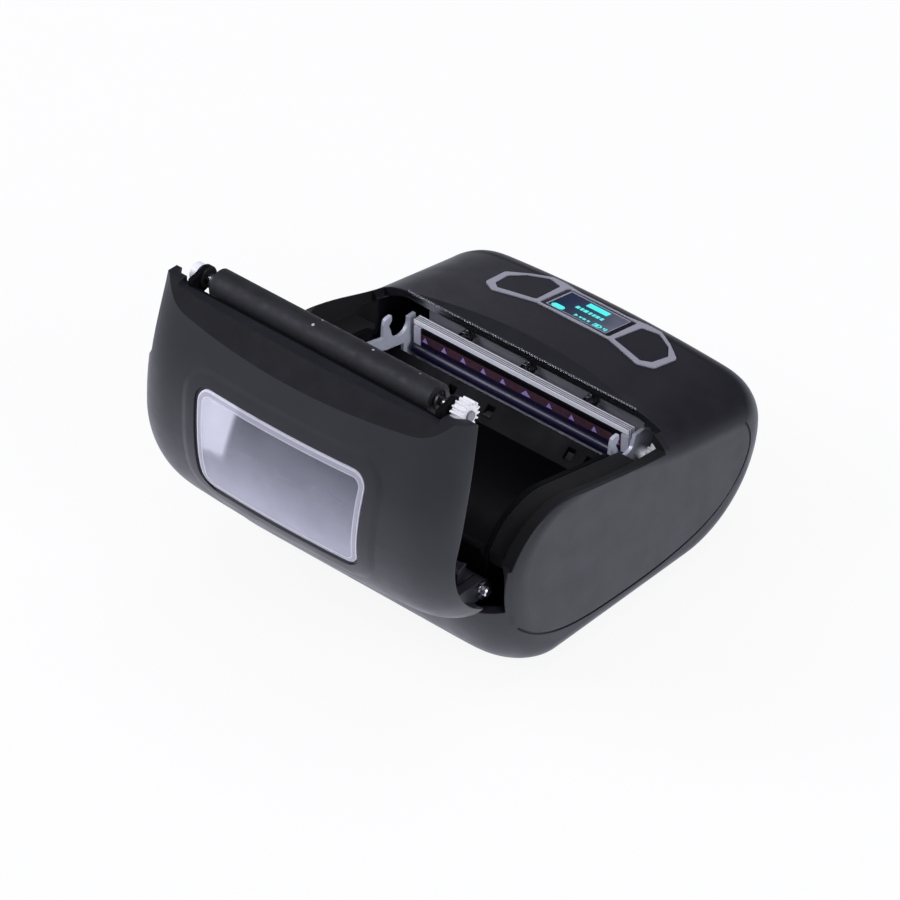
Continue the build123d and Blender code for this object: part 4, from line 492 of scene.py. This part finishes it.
def roller_rubber():
    """Worn rubber with sparse pale specks of paper dust."""
    skin = mottled("roller_rubber", (4 * MM, 3), ((0.012, 0.012, 0.013), (0.024, 0.024, 0.026)),
                   (0.48, 0.68), 0.03 * MM, sheen=(2 * MM, 3), grain=(0.7 * MM, 3),
                   Specular_IOR_Level=0.25)
    skin.colour(skin.mix(skin.spots(3.4 * MM, 0.22), skin.fed("Base Color"), (0.45, 0.45, 0.48)))
    return skin


def clip_nylon():
    """Nylon of the platen's two clips, white on the left and black on the right."""
    skin = Finish("platen_clip_nylon")
    right = skin.span(skin.part(skin.place, 0), *BLACK_CLIP_FROM, 0, 1)
    skin.colour(skin.mix(right, (0.84, 0.84, 0.86), (0.014, 0.014, 0.015)))
    skin.roughness(skin.patterned(skin.noise(1 * MM, 2), 0.32, 0.46))
    skin.relief(skin.noise(0.4 * MM, 1), 0.006 * MM, skin.soft_edges(0.15 * MM))
    return skin


def rail_aluminium():
    """Bright aluminium with the painted shade of grooves along it."""
    skin = metal("rail_aluminium", (0.97, 0.97, 1.0), (0.88, 0.88, 0.92), (0.26, 0.36), 0.4 * MM,
                 (120, 1, 1), 0.0005 * MM, 0.0)
    behind = skin.sums("SUBTRACT", skin.part(skin.place, 1), HEAD_FACE_Y)
    turns = skin.times(skin.sums("SUBTRACT", behind, GROOVE_FIRST), 1 / GROOVE_PITCH)
    groove_painted_shade = skin.times(skin.span(skin.sums("PINGPONG", turns, 0.5), 0.20, 0.30, 1, 0),
                        skin.span(behind, *GROOVES_FROM, 0, 1),
                        skin.span(behind, *GROOVES_TO, 1, 0))
    # Grooves coloured dark as their painted shade
    skin.colour(skin.mix(groove_painted_shade, skin.fed("Base Color"), (0.04, 0.04, 0.05)))
    return skin


def finishes():
    """All finishes by the name of the object's own surface."""
    made = {
        "case": moulded("case_skin", (0.0085, 0.0082, 0.0115), (0.0120, 0.0117, 0.0160), (0.36, 0.46)),
        "cover": moulded("cover_skin", (0.0105, 0.0102, 0.0140), (0.0145, 0.0142, 0.0190), (0.34, 0.44)),
        # Darker copy of the case's plastic: painted shade inside the paper bay
        "bay": moulded("bay_painted_shade_skin", (0.0030, 0.0030, 0.0036), (0.0050, 0.0050, 0.0058), (0.45, 0.60),
                       0.3 * MM),
        "key": moulded("key_skin", (0.006, 0.006, 0.009), (0.009, 0.009, 0.013), (0.42, 0.52), 0.3 * MM),
        "switch": moulded("switch_skin", (0.010, 0.010, 0.011), (0.02, 0.02, 0.021), (0.4, 0.55), 0.2 * MM),
        "window": window_plastic(),
        "strip": heating_strip(),
        "board": circuit_board(),
        "rubber": roller_rubber(),
        "clip": clip_nylon(),
        "steel": metal("bright_steel", (0.72, 0.72, 0.74), (0.52, 0.52, 0.54), (0.16, 0.30)),
        "shaft": metal("shaft_steel", (0.22, 0.22, 0.23), (0.30, 0.30, 0.32), (0.24, 0.34)),
        "pinion": metal("pinion_steel", (0.62, 0.60, 0.55), (0.45, 0.43, 0.40), (0.25, 0.38)),
        "motor": metal("motor_steel", (0.50, 0.50, 0.52), (0.36, 0.36, 0.38), (0.28, 0.42), run=(1, 1, 12)),
        "dark_steel": metal("blackened_steel", (0.10, 0.10, 0.108), (0.16, 0.16, 0.17), (0.26, 0.40)),
        "spring": metal("oiled_spring", (0.07, 0.07, 0.075), (0.16, 0.16, 0.17), (0.22, 0.34),
                        run=(1, 1, 1)),
        "tear": metal("tear_bar_steel", (0.60, 0.60, 0.62), (0.50, 0.50, 0.52), (0.22, 0.30), 0.4 * MM,
                      (80, 1, 1), 0.0005 * MM),
        "bracket": metal("bracket_steel", (0.34, 0.34, 0.36), (0.42, 0.42, 0.45), (0.26, 0.36), 0.6 * MM,
                         (40, 1, 1), 0.001 * MM, 0.2),
        "rail": rail_aluminium(),
        "nylon": mottled("white_nylon", (3 * MM, 3), ((0.74, 0.74, 0.73), (0.86, 0.86, 0.85)), (0.30, 0.42),
                         0.006 * MM, 0.15 * MM, sheen=(1 * MM, 2), grain=(0.4 * MM, 1)),
        "zinc": mottled("zinc_plate", (2.5 * MM, 3), ((0.54, 0.56, 0.62), (0.66, 0.68, 0.74)), (0.36, 0.50),
                        0.008 * MM, 0.25 * MM, grain=(0.6 * MM, 2), Metallic=0.3),
        "bezel": mottled("bezel_silver", (0.25 * MM, 1), ((0.30, 0.298, 0.335), (0.38, 0.377, 0.42)),
                         (0.34, 0.46), 0.004 * MM, 0.3 * MM, sheen=(6 * MM, 3), Metallic=0.1,
                         Coat_Weight=0.25, Coat_Roughness=0.25),
        "resin": mottled("head_resin", (3 * MM, 3), ((0.006, 0.006, 0.020), (0.014, 0.012, 0.045)),
                         (0.30, 0.42), 0.04 * MM, Coat_Weight=0.15, Coat_Roughness=0.2,
                         Specular_IOR_Level=0.3),
        "glass": mottled("screen_glass", (6 * MM, 4), ((0.010, 0.010, 0.014), (0.017, 0.017, 0.023)),
                         (0.10, 0.18), 0.004 * MM, 0.2 * MM, Coat_Weight=0.5, Coat_Roughness=0.04),
        "wrap": mottled("battery_wrap", (6 * MM, 3, (4, 1, 1)), ((0.015, 0.05, 0.17), (0.03, 0.08, 0.24)),
                        (0.22, 0.36), 0.2 * MM, 0.8 * MM),
    }
    made["bay"].set(Specular_IOR_Level=0.07)
    recess_painted_shade(made["case"])
    crescent_painted_shade(made["cover"])
    return made


def only(*pieces):
    """Makes these objects the only ones that are selected, and the first of them active."""
    bpy.ops.object.select_all(action="DESELECT")
    for piece in pieces:
        piece.select_set(True)
    bpy.context.view_layer.objects.active = pieces[0]


def joined(pieces):
    """One object from several."""
    only(*pieces)
    bpy.ops.object.join()
    return bpy.context.object


def settle(piece, name, finish, body):
    """Puts a piece's place into its mesh, and gives it its name, finish and body."""
    only(piece)
    bpy.ops.object.transform_apply(location=True, rotation=True, scale=True)
    piece.name = name
    piece.data.name = name
    piece.data.materials.clear()
    piece.data.materials.append(finish.material)
    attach(piece, body)


def copied(piece, shift):
    """A copy with a mesh of its own."""
    twin = piece.copy()
    twin.data = piece.data.copy()
    bpy.context.scene.collection.objects.link(twin)
    twin.location = twin.location + Vector(shift)
    return twin


def changed(piece, kind, **settings):
    """Gives a piece a modifier and applies it."""
    change = piece.modifiers.new(kind.lower(), kind)
    for key, value in settings.items():
        setattr(change, key, value)
    bpy.ops.object.modifier_apply(modifier=change.name)


def raised(thickness, corner, steps, spread=None):
    """Spreads the flat outline just added, rounds its corners and gives it thickness above its face."""
    bpy.ops.object.mode_set(mode="EDIT")
    if spread:
        bpy.ops.transform.resize(value=spread)
    if corner:
        bpy.ops.mesh.bevel(offset=corner, offset_pct=0, segments=steps, affect="VERTICES")
    bpy.ops.mesh.select_all(action="SELECT")
    bpy.ops.mesh.extrude_region_move(TRANSFORM_OT_translate={"value": (0, 0, thickness)})
    bpy.ops.mesh.select_all(action="SELECT")
    bpy.ops.mesh.normals_make_consistent(inside=False)
    bpy.ops.object.mode_set(mode="OBJECT")
    return bpy.context.object


def plate(width, length, thickness, corner, steps=4):
    """Flat plate about the origin, its corners rounded, standing on its lower face."""
    bpy.ops.object.select_all(action="DESELECT")
    bpy.ops.mesh.primitive_plane_add(size=1, location=(0, 0, 0))
    return raised(thickness, corner, steps, (width, length, 1))


def triangle(radius, thickness, corner=0, turn=0):
    """Flat triangle about the origin, standing on its lower face."""
    bpy.ops.object.select_all(action="DESELECT")
    bpy.ops.mesh.primitive_circle_add(vertices=3, radius=radius, fill_type="NGON", location=(0, 0, 0),
                                      rotation=(0, 0, turn))
    return raised(thickness, corner, 2)


def on_panel(piece, across, down, height):
    """Sets a piece made about the origin flat on the control panel, its length down the slope."""
    along = Vector((0, cos(PANEL_SLOPE), -sin(PANEL_SLOPE)))
    up = Vector((0, sin(PANEL_SLOPE), cos(PANEL_SLOPE)))
    place = PANEL_CORNER + Vector((across, 0, 0)) + along * down + up * height
    lean = Matrix.Rotation(-PANEL_SLOPE, 4, "X")
    piece.matrix_world = Matrix.Translation(place) @ lean @ piece.matrix_world
    return piece


def pick(piece, chosen):
    """Selects only the vertices of a piece, open in edit mode, whose place is chosen."""
    mesh = bmesh.from_edit_mesh(piece.data)
    for vertex in mesh.verts:
        vertex.select_set(chosen(vertex.co))
    mesh.select_flush_mode()
    bmesh.update_edit_mesh(piece.data)


def past_window(point):
    """How far a place on the cover is outside the window's rounded outline."""
    up = point.z - HINGE.z
    share = min(max((up - WINDOW_LOW) / (WINDOW_HIGH - WINDOW_LOW), 0), 1)
    half = WINDOW_LOW_HALF + (WINDOW_HIGH_HALF - WINDOW_LOW_HALF) * share - WINDOW_CORNER
    beside = max(abs(point.x) - half, 0)
    above = max(abs(up - WINDOW_MIDDLE) - WINDOW_REACH, 0)
    return (beside ** 2 + above ** 2) ** 0.5 - WINDOW_CORNER


def window_field(skins):
    """Shallow field of the cover around the window, raised over a soft edge."""
    lean = (WINDOW_HIGH_HALF - WINDOW_LOW_HALF) / (WINDOW_HIGH - WINDOW_LOW)
    low_half = WINDOW_LOW_HALF + FIELD_MARGIN * (1 - lean)
    high_half = WINDOW_HIGH_HALF + FIELD_MARGIN * (1 + lean)
    reach = (WINDOW_HIGH - WINDOW_LOW) / 2 + FIELD_MARGIN
    centre = (0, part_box("paper_cover")[0][1] - FIELD_BEHIND, HINGE.z + WINDOW_MIDDLE)

    # Rounded outline behind the cover, its long edges divided
    bpy.ops.object.select_all(action="DESELECT")
    bpy.ops.mesh.primitive_plane_add(size=2, location=centre, rotation=(pi / 2, 0, 0))
    piece = bpy.context.object
    bpy.ops.object.transform_apply(location=True, rotation=True, scale=True)
    bpy.ops.object.mode_set(mode="EDIT")
    bpy.ops.mesh.select_all(action="SELECT")
    bpy.ops.transform.resize(value=(low_half, 1, reach), center_override=centre)
    pick(piece, lambda place: place.z > centre[2])
    bpy.ops.transform.resize(value=(high_half / low_half, 1, 1), center_override=centre)
    bpy.ops.mesh.select_all(action="SELECT")
    bpy.ops.mesh.bevel(offset=WINDOW_CORNER + FIELD_MARGIN, offset_pct=0, segments=FIELD_CORNER_STEPS,
                       affect="VERTICES")
    mesh = bmesh.from_edit_mesh(piece.data)
    bpy.ops.mesh.select_mode(type="EDGE")
    for edge in mesh.edges:
        edge.select_set(edge.calc_length() > FIELD_LONG_EDGE)
    bmesh.update_edit_mesh(piece.data)
    bpy.ops.mesh.subdivide(number_cuts=FIELD_LONG_CUTS)

    # Rings inwards to the window's edge, and the middle taken out
    step_width = FIELD_EDGE / FIELD_STEPS
    flat_width = (FIELD_MARGIN - FIELD_EDGE - FIELD_GAP) / 2
    bpy.ops.mesh.select_mode(type="FACE")
    bpy.ops.mesh.select_all(action="SELECT")
    for width in (step_width,) * FIELD_STEPS + (flat_width,) * 2:
        bpy.ops.mesh.inset(thickness=width, use_even_offset=True)
    bpy.ops.mesh.delete(type="FACE")

    # Laid on the cover, then lifted ring by ring, and given a wall
    bpy.ops.object.mode_set(mode="OBJECT")
    changed(piece, "SHRINKWRAP", target=cad["paper_cover"], wrap_method="PROJECT", use_project_y=True)
    bpy.ops.object.mode_set(mode="EDIT")
    bpy.ops.mesh.select_mode(type="VERT")
    for step in range(FIELD_STEPS + 1):
        high = FIELD_MARGIN - (step - 0.5) * step_width
        low = high - step_width if step < FIELD_STEPS else -inf
        pick(piece, lambda place: low < past_window(place) <= high)
        share = step / FIELD_STEPS
        lift = FIELD_RISE * (3 * share ** 2 - 2 * share ** 3) - FIELD_SINK
        bpy.ops.transform.translate(value=(0, -lift, 0))
    bpy.ops.object.mode_set(mode="OBJECT")
    changed(piece, "SOLIDIFY", thickness=FIELD_WALL, offset=-1)
    bpy.ops.object.shade_smooth_by_angle(angle=radians(30))
    settle(piece, "window_field", skins["cover"], "cover")


def screen_face():
    """Dark glass of the screen, with a pale cast towards the right."""
    skin = Finish("screen_face")
    skin.set(Coat_Weight=0.6, Coat_Roughness=0.05)
    cast = skin.sums("POWER", skin.span(skin.part(skin.place, 0), -SCREEN_HALF, SCREEN_HALF, 0, 1), 1.8)
    deep = skin.mix(cast, (0.008, 0.018, 0.056), (0.165, 0.170, 0.205))
    skin.colour(skin.mix(skin.patterned(skin.noise(4 * MM, 2), 0, 0.3), deep, (0.030, 0.036, 0.075)))
    skin.roughness(skin.patterned(skin.noise(2 * MM), 0.14, 0.20))
    skin.relief(skin.noise(0.6 * MM, 1), 0.002 * MM)
    return skin


def screen_pieces(skins):
    """Screen face, its pale inner edge, and plain glowing shapes."""
    middle = (SCREEN_REAR + SCREEN_FRONT) / 2
    length = SCREEN_FRONT - SCREEN_REAR
    face = on_panel(plate(2 * SCREEN_HALF, length, FACE_THICKNESS, FACE_CORNER), 0, middle, LENS_TOP)
    settle(face, "screen_face", screen_face(), "case")

    edges = []
    for width, reach, across, down in ((2 * SCREEN_HALF, EDGE, 0, SCREEN_FRONT - EDGE / 2),
                                       (2 * SCREEN_HALF, THIN_EDGE, 0, SCREEN_REAR + THIN_EDGE / 2),
                                       (WIDE_EDGE, length - EDGE, -SCREEN_HALF + WIDE_EDGE / 2, middle),
                                       (THIN_EDGE, length - EDGE, SCREEN_HALF - THIN_EDGE / 2, middle)):
        edges.append(on_panel(plate(width, reach, EDGE_THICKNESS, EDGE_CORNER, 2), across, down, LENS_TOP))
    settle(joined(edges), "screen_edge", skins["bezel"], "case")

    shapes = []
    for shape in SCREEN_SHAPES:
        width, reach, corner, across, down = (measure * MM for measure in shape)
        shapes.append(on_panel(plate(width, reach, SHAPE_THICKNESS, corner), across, down, SHAPE_HEIGHT))
    arrow = triangle(ARROW_RADIUS, SHAPE_THICKNESS, turn=-pi / 2)
    shapes.append(on_panel(arrow, *ARROW_PLACE, SHAPE_HEIGHT))
    teal = mottled("screen_teal", (0.8 * MM, 1), ((0.03, 0.62, 0.56), (0.06, 0.76, 0.68)), (0.3, 0.4),
                   0.002 * MM, Emission_Strength=0.55)
    glow = teal.mix(teal.mottle, (0.02, 0.60, 0.52), (0.05, 0.72, 0.62))
    teal.feed(teal.shader.inputs["Emission Color"], glow)
    settle(joined(shapes), "screen_shapes", teal, "case")


def head_marks():
    """Row of small lavender triangles on the heating strip."""
    first = triangle(MARK_RADIUS, MARK_THICKNESS, MARK_CORNER)
    first.rotation_euler = (pi / 2, 0, 0)
    first.location = (MARK_PLACES[0] * MM, HEAD_FACE_Y + MARK_SINK, MARK_Z)
    marks = [first] + [copied(first, ((x - MARK_PLACES[0]) * MM, 0, 0)) for x in MARK_PLACES[1:]]
    marks[WIDE_MARK].scale.x = WIDE_MARK_SPREAD
    mark_finish = mottled("lavender_marks", (1.2 * MM, 2), ((0.30, 0.22, 0.62), (0.50, 0.42, 0.86)), (0.25, 0.40),
                  0.004 * MM)
    settle(joined(marks), "head_marks", mark_finish, "case")


def dress(skins):
    """Finish of every piece of the frame."""
    wear = {
        "case": ("main_case", "bottom_cover"),
        "cover": ("paper_cover",),
        "window": ("cover_window",),
        "bay": ("paper_bin", "cover_frame"),
        "rubber": ("platen_roller",),
        "clip": ("platen_clips",),
        "shaft": ("platen_shaft",),
        "nylon": ("platen_gear", "idler_gear", "drive_gear", "gear_studs"),
        "steel": ("hinge_pin", "hinge_clips", "board_screws", "deck_screws", "usb_socket"),
        "tear": ("tear_bar",),
        "bracket": ("head_bracket",),
        "pinion": ("motor_pinion",),
        "motor": ("feed_motor",),
        "dark_steel": ("mechanism_frame", "bottom_screws"),
        "spring": ("head_springs",),
        "zinc": ("left_side_plate", "right_side_plate"),
        "rail": ("heat_sink",),
        "strip": ("head_board",),
        "resin": ("head_cover",),
        "bezel": ("control_bezel",),
        "key": ("power_button", "feed_button"),
        "glass": ("screen_lens", "display_module"),
        "board": ("key_board", "main_board"),
        "switch": ("key_switches", "paper_sensor", "platen_bushes"),
        "wrap": ("battery_pack",),
    }
    for finish, names in wear.items():
        for name in names:
            mesh = cad[name].data
            mesh.materials.clear()
            mesh.materials.append(skins[finish].material)


def floor():
    """Pale floor that takes the shadow, and that the object mirrors more dimly where it is far away."""
    bpy.ops.object.select_all(action="DESELECT")
    bpy.ops.mesh.primitive_plane_add(size=FLOOR_SIZE, location=(0, 0, -FLOOR_DROP))
    ground = bpy.context.object
    ground.name = "floor"
    paper = bpy.data.materials.new("floor_paper")
    paper.use_nodes = True
    nodes = Nodes(paper.node_tree)
    nodes.tree.nodes.remove(nodes.tree.nodes["Principled BSDF"])
    matt = nodes.make("BsdfDiffuse")
    nodes.feed(matt.inputs["Color"], (*FLOOR_GREY, 1))
    away = nodes.make("VectorMath", operation="LENGTH")
    nodes.feed(away.inputs[0], nodes.make("TexCoord").outputs["Object"])
    rays = nodes.make("LightPath").outputs
    mirrored = rays["Is Glossy Ray"]
    white = nodes.make("Emission")
    nodes.feed(white.inputs["Color"], nodes.mix(mirrored, WHITE, COOL))
    fade = nodes.span(away.outputs["Value"], *FLOOR_FADE)
    nodes.feed(white.inputs["Strength"], nodes.blend(mirrored, 1.0, fade))
    seen = nodes.sums("MAXIMUM", rays["Is Camera Ray"], mirrored)
    seen = nodes.sums("MAXIMUM", seen, rays["Is Transmission Ray"])
    lifted = nodes.layer(FLOOR_LIFT, matt.outputs[0], white.outputs[0])
    surface = nodes.tree.nodes["Material Output"].inputs["Surface"]
    nodes.feed(surface, nodes.layer(seen, matt.outputs[0], lifted))
    ground.data.materials.append(paper)


def room():
    """White background, and plain cool light that the object mirrors only low down."""
    world = bpy.data.worlds.new("studio")
    world.use_nodes = True
    bpy.context.scene.world = world
    nodes = Nodes(world.node_tree)
    sky = nodes.tree.nodes["Background"]
    rays = nodes.make("LightPath").outputs
    height = nodes.part(nodes.make("TexCoord").outputs["Generated"], 2)
    seen = nodes.sums("MAXIMUM", rays["Is Camera Ray"], rays["Is Transmission Ray"])
    level = nodes.blend(rays["Is Glossy Ray"], ROOM_LIGHT, nodes.span(height, *ROOM_FADE))
    nodes.feed(sky.inputs["Color"], nodes.mix(seen, COOL, WHITE))
    nodes.feed(sky.inputs["Strength"], nodes.blend(seen, level, 1.0))


def lamp(name, place, size, power):
    """Soft lamp aimed at the object."""
    data = bpy.data.lights.new(name, "AREA")
    data.shape = "RECTANGLE"
    data.size, data.size_y = size
    data.energy = power
    data.color = COOL
    light = bpy.data.objects.new(name, data)
    bpy.context.scene.collection.objects.link(light)
    light.location = place
    light.rotation_euler = (AIM - Vector(place)).to_track_quat("-Z", "Y").to_euler()


def camera():
    """Camera at the picture's angle, with the hinge axis where the picture has it."""
    right = Vector((cos(VIEW_TURN), sin(VIEW_TURN), 0))
    ahead = Vector((-sin(VIEW_TURN) * cos(VIEW_RISE), cos(VIEW_TURN) * cos(VIEW_RISE), -sin(VIEW_RISE)))
    down = ahead.cross(right)
    spread = LENS / SENSOR * PICTURE
    off_x = (HINGE_PICTURE_X - PICTURE / 2) / spread * VIEW_DISTANCE
    off_y = (HINGE_PICTURE_Y - PICTURE / 2) / spread * VIEW_DISTANCE
    place = HINGE - right * off_x - down * off_y - ahead * VIEW_DISTANCE
    data = bpy.data.cameras.new("picture")
    data.lens = LENS
    data.sensor_width = SENSOR
    data.clip_start = NEAREST
    data.clip_end = FURTHEST
    view = bpy.data.objects.new("picture", data)
    bpy.context.scene.collection.objects.link(view)
    turn = Matrix((right, -down, -ahead)).transposed().to_4x4()
    view.matrix_world = Matrix.Translation(place) @ turn
    bpy.context.scene.camera = view


bpy.context.scene.view_settings.view_transform = "Standard"
camera()
floor()
room()
for settings in LAMPS:
    lamp(*settings)

skins = finishes()
dress(skins)
screen_pieces(skins)
head_marks()
window_field(skins)
